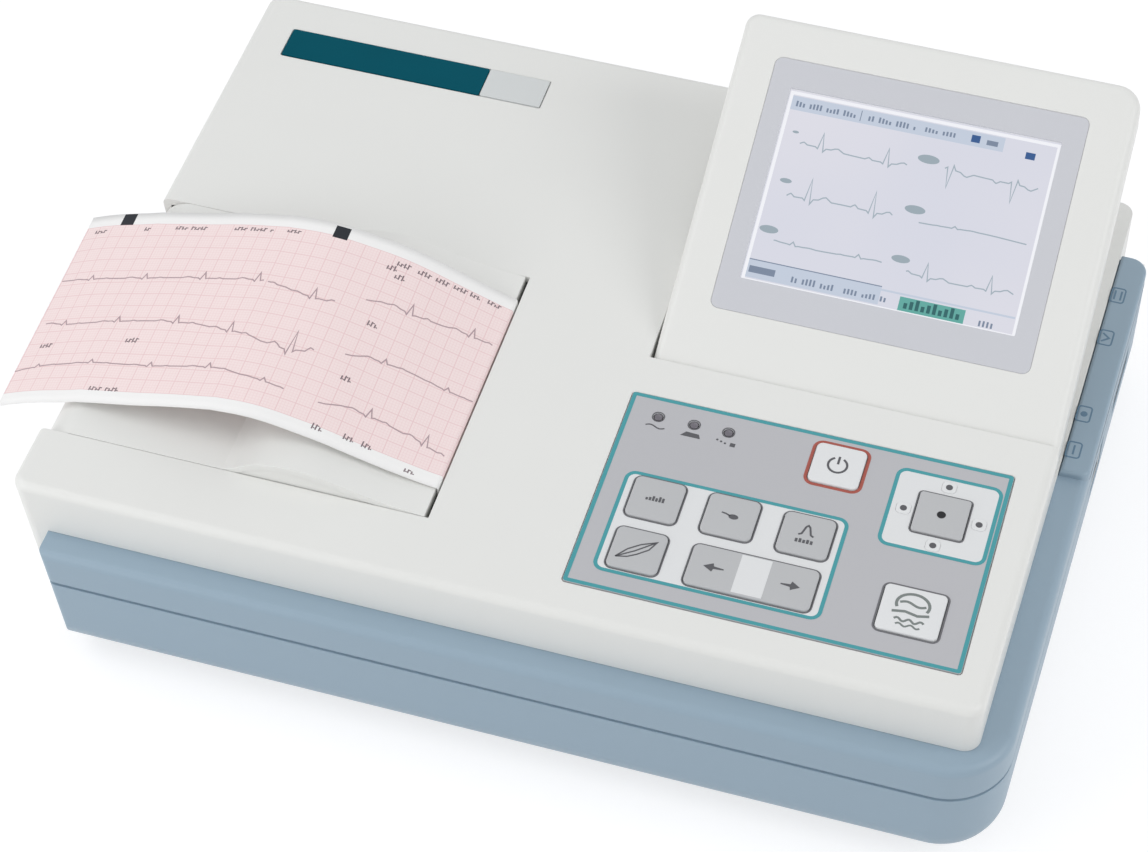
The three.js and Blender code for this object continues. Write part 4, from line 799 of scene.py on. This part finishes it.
traces = [  # from, to, height on the screen, beats, size of a beat
    (0.075, 0.487, 0.735, (0.158, 0.402), 0.075), (0.590, 0.962, 0.760, (0.633, 0.868), -0.095),
    (0.075, 0.482, 0.470, (0.160, 0.396), 0.105), (0.570, 0.962, 0.473, (0.700,), 0.010),
    (0.078, 0.480, 0.228, (0.150, 0.390), 0.016), (0.566, 0.962, 0.207, (0.640, 0.872), 0.070)]
labels = [(0.055, 0.794, 0.012), (0.549, 0.793, 0.040), (0.066, 0.539, 0.022), (0.546, 0.528, 0.038),
          (0.052, 0.279, 0.035), (0.540, 0.269, 0.034)]
shown("screen_edge", tint(246, 247, 252),
      combine(patch(0, 1, 0, 1, 0.02), patch(0.012, 0.988, 0.016, 0.984, 0.02)))
shown("screen_bars", tint(196, 206, 222), patch(0.012, 0.80, 0.905, 0.978), patch(0.012, 0.50, 0.022, 0.112),
      patch(0.50, 0.985, 0.094, 0.104))
shown("screen_marks", tint(120, 134, 156), *[form for place in (
    (0.030, 0.270, 0.925, 0.030), (0.300, 0.480, 0.925, 0.030), (0.510, 0.640, 0.928, 0.024),
    (0.177, 0.350, 0.040, 0.034), (0.370, 0.530, 0.040, 0.028), (0.849, 0.935, 0.022, 0.030))
    for form in word(*place)], patch(0.270, 0.273, 0.915, 0.970, ink), patch(0.737, 0.778, 0.925, 0.950, ink),
      patch(0.019, 0.115, 0.048, 0.082, ink), patch(0.012, 0.50, 0.112, 0.117, ink))
shown("screen_blues", tint(40, 84, 140), patch(0.680, 0.712, 0.925, 0.962, 2 * ink),
      patch(0.883, 0.918, 0.895, 0.930))
shown("screen_key", tint(92, 168, 158), patch(0.572, 0.810, 0.016, 0.086, ink))
shown("screen_key_marks", tint(30, 96, 96), *[patch(0.590 + 0.021 * i, 0.603 + 0.021 * i, 0.030,
                                                    0.058 + 0.012 * (i % 3), 2 * ink) for i in range(10)])
shown("screen_traces", tint(162, 176, 186), *[heart_trace(*trace) for trace in traces])
shown("screen_labels", tint(154, 169, 178), *[
    spot(*on_field(screen, along, up), half * screen_width, screen_top, 0.42) for along, up, half in labels])

# Paper door: a curved white moulding. Its nose turns on the hinge pin and forms
# the body's left edge, it rises in a hump before the slot, and skirts and ribs
# hang below it to carry the platen.
door_axis = (11, 59)
nose, door_wall = 11, 2.5
platen_axis = (117.1, 59.5)
door_end, hump_start, hump_height = 124.1, 59.5, 7.3
hump_shares = [(0, 0), (0.05, 0.16), (0.1, 0.42), (0.19, 0.82), (0.33, 1), (0.45, 0.93),
               (0.62, 0.58), (0.78, 0.26), (0.92, 0.07), (1, 0)]


def through(points, count):
    """Points along a smooth line through the given ones"""
    line = []
    for i in range(count + 1):
        along = i / count * (len(points) - 1)
        k = min(int(along), len(points) - 2)
        t = along - k
        a, b, c, d = (Vector(points[min(max(k + j, 0), len(points) - 1)]) for j in (-1, 0, 1, 2))
        line.append(0.5 * (2 * b + (c - a) * t + (2 * a - 5 * b + 4 * c - d) * t ** 2
                           + (3 * b - a - 3 * c + d) * t ** 3))
    return line


def door_line(drop):
    """The door's nose and its hump, at a depth below its outside"""
    hump = through([(hump_start + along * (door_end - hump_start), top_z + up * hump_height)
                    for along, up in hump_shares], 72)
    return arc(*door_axis, nose - drop, 232, 90, 28), [(point.x, point.y - drop) for point in hump]


def across(points, y0, y1):
    """A profile in x and z, extruded from front to rear"""
    form = bmesh.new()
    face = form.faces.new([form.verts.new((x, y0, z)) for x, z in points])
    return thicken(form, [face], (0, y1 - y0, 0))


over_nose, over_hump = door_line(0)
under_nose, under_hump = door_line(door_wall)
plate = across([*over_nose, *over_hump, (door_end, 66), (door_end - door_wall, 66),
                (door_end - door_wall, top_z - door_wall), *reversed(under_hump[:-2]),
                *reversed(under_nose)], bay_front + 0.15, bay_back - 0.15)
_, middle_hump = door_line(door_wall / 2)
skirt = [(11, top_z - door_wall / 2), *middle_hump, (door_end - door_wall / 2, 62), (11, 62)]
paper_y0, paper_y1, paper_width = 34.35, 114.35, 80
rib_fronts = [paper_y0 - 3.9, paper_y1 + 1.3]
rib, skirt_wall, proud = 2.6, 2.2, 0.1
door_parts = [across(skirt, y, y + skirt_wall) for y in (bay_front + gap, bay_back - gap - skirt_wall)]
for y in rib_fronts:
    door_parts += [across(skirt, y, y + rib),
                   *[rod("y", *axis, radius, y - proud, y + rib + proud, 48)
                     for axis, radius in ((platen_axis, 6), (door_axis, 8))]]
door = combine(combine(plate, *door_parts, by="UNION"),
               rod("y", *door_axis, 2.3, 10, 140),
               rod("y", *platen_axis, 4.3, rib_fronts[0] - gap, rib_fronts[1] + rib + gap, 48))
fit("door", door, white_abs, ["paper_door"], edge=0.15)

# Hinge pin and platen: steel pin through the nose, and a ground rubber roller
# on a steel shaft that turns in two nylon bushes in the door's ribs.
steel = plastic("plated steel", tint(196, 198, 200), roughness=0.28, size=900, depth=0.03, metal=1.0)
nylon = plastic("natural nylon", tint(232, 228, 214), roughness=0.45)
rubber = plastic("ground rubber", tint(42, 42, 44), roughness=0.75, size=2600, depth=0.15)


def tube(x, z, radius, bore, start, end, sides=48, edge=0.3):
    """A round sleeve from front to rear, with broken ends"""
    form = rod("y", x, z, radius, start, end, sides)
    for face in (start, end):
        round_off(form, edge, 2, lambda a, b: max(abs(a.y - face), abs(b.y - face)) < 0.001)
    return combine(form, rod("y", x, z, bore, start - 5, end + 5)) if bore else form


fit("hinge_pin", tube(*door_axis, 2, 0, 21.1, 127.6, 32), steel, ["door_pin"], edge=0)
fit("platen_roller", tube(*platen_axis, 7, 2.8, 33.35, 115.35, 96, 0.5), rubber,
    ["platen_rubber"], edge=0)
fit("platen_rod", tube(*platen_axis, 2.5, 0, 30.15, 121.55), steel, ["platen_shaft"], edge=0)
for side, y in zip(("front", "rear"), rib_fronts):
    fit(f"bush_{side}", tube(*platen_axis, 4, 2.8, y, y + rib), nylon, [f"platen_bush_{side}"], edge=0)


# Gears, printer tray, motor, head and its bracket: these solids keep the shape
# they were designed with, and get broken edges and their own finish.
def as_designed(node, material, edge, crease=30, in_wall=False):
    form = bmesh.new()
    form.from_mesh(frame["nodes"][node].data)
    bmesh.ops.remove_doubles(form, verts=form.verts, dist=0.000002)
    bmesh.ops.dissolve_limit(form, angle_limit=flat_angle, use_dissolve_boundaries=False,
                             verts=form.verts, edges=form.edges)
    bmesh.ops.transform(form, matrix=to_part.inverted(), verts=form.verts)
    return fit(node + "_part", draw_in(form) if in_wall else form, material, [node], edge=edge, crease=crease)


tray_gray = plastic("tray gray", tint(150, 154, 158), depth=0.08)
aluminium = plastic("drawn aluminium", tint(200, 204, 206), roughness=0.36, size=1200, depth=0.06, metal=1.0)
for node, paint, edge in (("platen_gear", nylon, 0.1), ("idler_gear", nylon, 0.1),
                          ("motor_pinion", steel, 0.08), ("printer_tray", tray_gray, 0.25),
                          ("feed_motor", steel, 0.3), ("print_head", aluminium, 0.2),
                          ("head_bracket", steel, 0.2)):
    as_designed(node, paint, edge)
for side in ("front", "rear"):
    as_designed(f"head_spring_{side}", steel, 0, crease=80)

# Paper: coated thermal paper 80 mm wide with a pink 1 and 5 mm grid between
# white margins. The printed end leaves the slot and lies in an arch over the
# door, and the rest is folded in the tray.
slot_paper, paper_thick = slot_x - 0.1, 0.2
arch_reach, arch_height, arch_lift, lift_share = 144.9, 12.9, 4.3, 0.16
arch_shares = [(0, 0), (0.03, 0.05), (0.1, 0.22), (0.19, 0.5), (0.285, 0.81), (0.386, 1),
               (0.486, 0.97), (0.6, 0.7), (0.752, 0.25), (0.881, -0.2), (0.945, -0.48), (1, -0.76)]


def paper_edge(lift):
    wrap = [Vector(point) for point in arc(*platen_axis, slot_paper - platen_axis[0], -100, 0, 14)]
    arch = through([(slot_paper - along * arch_reach,
                     top_z + 0.6 + up * arch_height + lift * min(along / lift_share, 1))
                    for along, up in arch_shares], 176)
    return [*wrap, Vector((slot_paper, top_z - door_wall)), *arch]


front_edge, rear_edge = paper_edge(0), paper_edge(arch_lift)
middle = [(front + rear) / 2 for front, rear in zip(front_edge, rear_edge)]
run = [0.0]
for before, here in zip(middle, middle[1:]):
    run.append(run[-1] + (here - before).length)
slot_run = run[16]  # where the sheet leaves the slot
creases = (121, 74)


def on_paper(along, across_mm, lift=0.0):
    """A point of the sheet, by its run from the slot and from its front edge"""
    reach = min(max(along + slot_run, 0), run[-1] - 0.0001)
    i = bisect.bisect_right(run, reach) - 1
    share = (reach - run[i]) / (run[i + 1] - run[i])
    side = across_mm / paper_width
    here = [front_edge[j].lerp(rear_edge[j], side) for j in (i, i + 1)]
    point = here[0].lerp(here[1], share)
    normal = (here[1] - here[0]).normalized()
    normal = Vector((normal.y, -normal.x))
    bend = 0.0
    if along > 6:
        settled = min((along - 6) / 20, 1)
        bend = settled * (0.16 * math.sin(along / 9.0 + across_mm / 17.0)
                          + 0.10 * math.sin(along / 4.3 - across_mm / 11.0))
        for crease in creases:
            bend += 0.28 * math.exp(-abs(along - crease - across_mm * 0.03) / 2.6)
    point = point + normal * (bend + lift)
    return Vector((point.x, paper_y0 + across_mm, point.y))


sheet_steps, sheet_rows = 240, 26
sheet = bmesh.new()
bmesh.ops.create_grid(sheet, x_segments=sheet_steps, y_segments=sheet_rows, size=0.5, calc_uvs=True)
print_map = sheet.loops.layers.uv.verify()
print_map_name = print_map.name
places = {vert: ((vert.co.x + 0.5) * run[-1] - slot_run, (vert.co.y + 0.5) * paper_width)
          for vert in sheet.verts}
for face in sheet.faces:
    for loop in face.loops:
        loop[print_map].uv = places[loop.vert]
for vert, (along, side) in places.items():
    vert.co = on_paper(along, side)
bmesh.ops.transform(sheet, matrix=to_part, verts=sheet.verts)
bmesh.ops.recalc_face_normals(sheet, faces=sheet.faces)
strip = bpy.data.objects.new("printed_strip", bpy.data.meshes.new("printed_strip"))
sheet.to_mesh(strip.data)
sheet.free()
strip.data.shade_smooth()
bpy.context.scene.collection.objects.link(strip)
thickness = strip.modifiers.new("thickness", "SOLIDIFY")
thickness.thickness = paper_thick / 1000
thickness.offset = 0

# ruled lines: 1 on a line and 0 between lines, by the run from the first one
rules = group("ruled lines", [("Run", "Float", 0.0), ("Pitch", "Float", 1.0), ("Width", "Float", 0.1)],
              [("Line", "Float")])
fill(rules, {
    "given": ("NodeGroupInput", {}), "out": ("NodeGroupOutput", {}),
    "pitches": maths("DIVIDE"), "half on": maths("ADD", 0.5), "part": maths("FRACT"),
    "off line": maths("SUBTRACT", 0.5), "distance": maths("ABSOLUTE"),
    "in mm": maths("MULTIPLY"), "in widths": maths("DIVIDE"),
    "fade": ("MapRange", {"From Min": 0.25, "From Max": 0.75, "To Min": 1, "To Max": 0}),
}, [("given", "Run", "pitches", 0), ("given", "Pitch", "pitches", 1), ("pitches", 0, "half on", 0),
    ("half on", 0, "part", 0), ("part", 0, "off line", 0), ("off line", 0, "distance", 0),
    ("distance", 0, "in mm", 0), ("given", "Pitch", "in mm", 1), ("in mm", 0, "in widths", 0),
    ("given", "Width", "in widths", 1), ("in widths", 0, "fade", "Value"), ("fade", "Result", "out", "Line")])

paper = surface("thermal paper", {"Roughness": 0.62, "Specular IOR Level": 0.3})
fill(paper.node_tree, {
    "where": ("UVMap", {"uv_map": print_map_name}), "both": ("SeparateXYZ", {}),
    "past front margin": maths("GREATER_THAN", 4.9), "before rear margin": maths("LESS_THAN", 75.1),
    "printed field": maths("MULTIPLY"), "lines": maths("MULTIPLY"),
    "ground": ("Mix", {"data_type": "RGBA", "A": tint(250, 249, 248), "B": tint(252, 232, 231)}),
    "lined": ("Mix", {"data_type": "RGBA", "B": tint(226, 178, 182)}),
    "place": ("TexCoord", {}), "fibre": ("TexNoise", {"Scale": 1600, "Detail": 4}),
    "bump": ("Bump", {"Strength": 0.05, "Distance": 0.0001}),
}, [("where", "UV", "both", "Vector"), ("both", "Y", "past front margin", 0),
    ("both", "Y", "before rear margin", 0), ("past front margin", 0, "printed field", 0),
    ("before rear margin", 0, "printed field", 1), ("printed field", 0, "ground", "Factor"),
    ("printed field", 0, "lines", 1), ("lines", 0, "lined", "Factor"), ("ground", "Result", "lined", "A"),
    ("lined", "Result", "Principled BSDF", "Base Color"), ("place", "Object", "fibre", "Vector"),
    ("fibre", "Fac", "bump", "Height"), ("bump", "Normal", "Principled BSDF", "Normal")])
grid = [("X", 1, 0.16, 0.22), ("X", 5, 0.3, 0.5), ("Y", 1, 0.16, 0.22), ("Y", 5, 0.3, 0.5)]
for i, (axis, pitch, width, strength) in enumerate(grid):
    fill(paper.node_tree, {
        f"rule {i}": ("Group", {"node_tree": rules, "Pitch": pitch, "Width": width}),
        f"soft {i}": maths("MULTIPLY", strength), f"most {i}": maths("MAXIMUM", 0),
    }, [("both", axis, f"rule {i}", "Run"), (f"rule {i}", "Line", f"soft {i}", 0),
        (f"soft {i}", 0, f"most {i}", 0), *([(f"most {i - 1}", 0, f"most {i}", 1)] if i else [])])
fill(paper.node_tree, {}, [(f"most {len(grid) - 1}", 0, "lines", 0)])
strip.data.materials.append(paper)
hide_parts("paper_strip")
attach(strip, "door")

trace_lift = paper_thick / 2 + 0.04


def on_sheet(points, width):
    """A printed line on the sheet, through points given by run and side"""
    form = bmesh.new()
    rows = [[form.verts.new(on_paper(*side, trace_lift)) for side in sides]
            for sides in zip(*both_sides(points, width))]
    faces = [form.faces.new((a, b, d, c)) for (a, b), (c, d) in zip(rows, rows[1:])]
    return thicken(form, faces, (0, 0, -0.05))


paper_traces = [  # points of the level, then beats and their heights
    ([(50.5, 50.6), (54.7, 49.4), (62.7, 49.6), (69.5, 51.4), (76, 52.5), (94.6, 52.1), (110.6, 51.7),
      (138.6, 51.6), (150, 52)], [(58.5, 3.6), (78, 3.0), (97, 2.4), (118, 1.8), (138, 1.6)]),
    ([(0.4, 59), (7.9, 59), (13.7, 58.6), (21.5, 57.4), (27.5, 56.6), (37.5, 56.5), (43, 55)],
     [(8.5, 3.0), (28.8, 3.6)]),
    ([(50.4, 30.6), (55.4, 28.5), (60.7, 27.6), (67, 28.5), (73.6, 30.4), (80.4, 31.6), (93.5, 33.4),
      (108.5, 33.6), (137, 32.6), (148, 33.6)],
     [(58.3, 7.6), (79.5, 3.4), (99, 2.6), (120, 1.9), (140, 1.6)]),
    ([(0.4, 35.5), (10, 35.7), (22.4, 36.4), (34.3, 35.5), (42.2, 33)], [(9, 1.2), (30, 1.6)]),
    ([(53.6, 13.4), (65.5, 14.4), (80.5, 16.5), (101, 15.6), (122.5, 15.9), (138, 15.6), (151, 14)],
     [(62, 1.2), (81, 1.6), (101, 1.4), (122, 1.2), (142, 1.0)]),
    ([(0.4, 12.1), (14.6, 14.4), (25.3, 15.6), (34.7, 15.4), (43.9, 13)], [(8.8, 3.8), (28, 2.8)])]


def paper_trace(knots, beats):
    def level(along):
        for (run0, side0), (run1, side1) in zip(knots, knots[1:]):
            if along <= run1:
                break
        share = min(max((along - run0) / (run1 - run0), 0), 1)
        return side0 + (side1 - side0) * share * share * (3 - 2 * share)

    return heart_line(knots[0][0], knots[-1][0], beats, level)


trace_ink, word_ink, mark_ink = (
    plastic(name, tint(*colour), roughness=0.6, depth=0.0) for name, colour in (
        ("printed trace", (180, 156, 162)), ("printed word", (128, 112, 118)), ("black mark", (34, 38, 46))))
word_pitch, line_width, speck_width = 1.15, 0.42, 0.34
printed("paper_traces", trace_ink, *[on_sheet(paper_trace(*trace), line_width) for trace in paper_traces],
        body="door")


def sheet_word(along, side, count, height):
    """A row of small uneven marks where the sheet has a printed word"""
    forms = []
    for i in range(count):
        if i % 6 != 4:
            tall = height * (0.6 + 0.4 * abs(math.sin(2.3 * i + along)))
            start = along - i * word_pitch
            forms += [on_sheet([(start, side), (start - 0.1, side + tall)], line_width),
                      on_sheet([(start - 0.36, side + tall * (0.3 + 0.5 * (i % 2))),
                                (start - 0.86, side + tall * (0.2 + 0.6 * (i % 2)))], speck_width)]
    return forms


words = [  # run, side, count of marks, height
    (39.6, 46.2, 3, 2.0), (40.4, 23.8, 3, 2.0), (113.5, 24.6, 4, 2.0), (145, 23.2, 4, 1.8),
    (118, 4.8, 9, 1.6), (115.5, 72.6, 10, 1.5), (94, 72.6, 12, 1.5), (75.5, 73.0, 5, 1.4),
    (146, 72.0, 5, 1.4), (127, 72.2, 2, 1.6), (41, 69.0, 3, 2.2), (38.4, 71.6, 5, 2.0),
    (37.6, 66.6, 3, 2.2), (31.4, 71.8, 4, 2.0), (25.4, 72.2, 4, 2.0), (19.4, 72.8, 4, 1.8),
    (13.8, 73.0, 3, 1.8), (8, 73.4, 4, 1.6), (42.6, 3.4, 3, 2.2), (32.6, 4.2, 3, 2.2),
    (26.6, 4.2, 3, 2.2), (11.6, 1.6, 3, 1.4)]
printed("paper_words", word_ink, *[form for place in words for form in sheet_word(*place)], body="door")
printed("fold_marks", mark_ink, *[on_sheet([(along - 2.4 + 0.6 * i, side) for i in range(9)], 4.8)
                                  for along, side in ((58.6, 76.8), (135, 77.4))], body="door")
as_designed("paper_pack", plastic("folded paper", tint(248, 236, 234), roughness=0.7, depth=0.05), 0.05)

# Hinges of the display: a steel bracket under the deck carries the pin, and a
# leaf beside it is screwed inside the back shell.
for side in ("left", "right"):
    as_designed(f"hinge_bracket_{side}", steel, 0.25)
    as_designed(f"hinge_leaf_{side}", steel, 0.25)

# Boards and sockets: glass-fibre boards under green mask, black nylon sockets
# in the right-hand wall, and the mains inlet in the rear wall.
board_green = plastic("green board", tint(38, 104, 70), roughness=0.35, depth=0.02, **{"Coat Weight": 0.2})
black_nylon = plastic("black nylon", tint(44, 46, 49), depth=0.06)
battery_black = plastic("battery sleeve", tint(52, 54, 58), roughness=0.4, depth=0.03)
for node, paint, edge in (("key_board", board_green, 0.1), ("main_board", board_green, 0.1),
                          ("power_supply", board_green, 0.2), ("patient_socket", black_nylon, 0.12),
                          ("network_socket", aluminium, 0.15), ("mains_inlet", black_nylon, 0.25),
                          ("battery_pack", battery_black, 0.6), ("battery_door", blue_abs, 0.3)):
    as_designed(node, paint, edge, in_wall=node in ("patient_socket", "network_socket"))

# Feet and screws: rubber pads pressed into the floor and steel screws with
# round heads, deep in their wells.
foot_rubber = plastic("foot rubber", tint(50, 50, 52), roughness=0.8, size=1800, depth=0.15)
for where, x, y in feet:
    pad = bmesh.new()
    radii = [(0, 0.35), (4.6, 0.35), (4.8, 0.1), (5.8, 0.0), (6.5, 0.25), (7.0, 1.2), (7.0, 4.2), (0, 4.2)]
    verts = [pad.verts.new((radius, 0, z)) for radius, z in radii]
    edges = [pad.edges.new(pair) for pair in zip(verts, verts[1:])]
    bmesh.ops.spin(pad, geom=[*verts, *edges], cent=(0, 0, 0), axis=(0, 0, 1), angle=2 * math.pi,
                   steps=48, use_merge=True)
    bmesh.ops.remove_doubles(pad, verts=pad.verts, dist=0.001)
    bmesh.ops.recalc_face_normals(pad, faces=pad.faces)
    bmesh.ops.translate(pad, vec=(x, y, 0), verts=pad.verts)
    fit(f"rubber_foot_{where}", pad, foot_rubber, [f"foot_{where}"], edge=0, crease=50)
for where, x, y, _ in screws:
    head = round_off(rod("z", x, y, 3, 12.2, 15.2), 0.5, 3, below(12.2))
    recess = together(cube(x - 1.7, x + 1.7, y - 0.35, y + 0.35, 10, 13.4),
                      cube(x - 0.35, x + 0.35, y - 1.7, y + 1.7, 10, 13.4))
    screw = together(combine(head, recess), rod("z", x, y, 1.5, 14.9, 49.2, 24))
    fit(f"screw_{where}", screw, steel, [f"case_screw_{where}"], edge=0)

# Legends on the connector panel: small plain picture signs in darker blue ink
# above the sockets.
panel_ink, legend_x = plastic("panel ink", tint(98, 128, 152), depth=0.02), 306.2
legends = [outline((legend_x - 2.4, legend_x + 2.4, y - 3.4, y + 3.4), 1.2, 0.5, panel_top)
           for y in (118.5, 133.8, 167.4, 186.6)]
legends += [stroke(points, 0.6, panel_top) for points in (
    [(legend_x, 116.6), (legend_x, 120.4)], [(305.0, 165.6), (307.2, 167.4), (305.0, 169.2)],
    [(305.2, 184.6), (305.2, 188.6)], [(307.2, 184.6), (307.2, 188.6)])]
printed("panel_signs", panel_ink, draw_in(together(*legends, spot(legend_x, 133.8, 1.1, panel_top))))
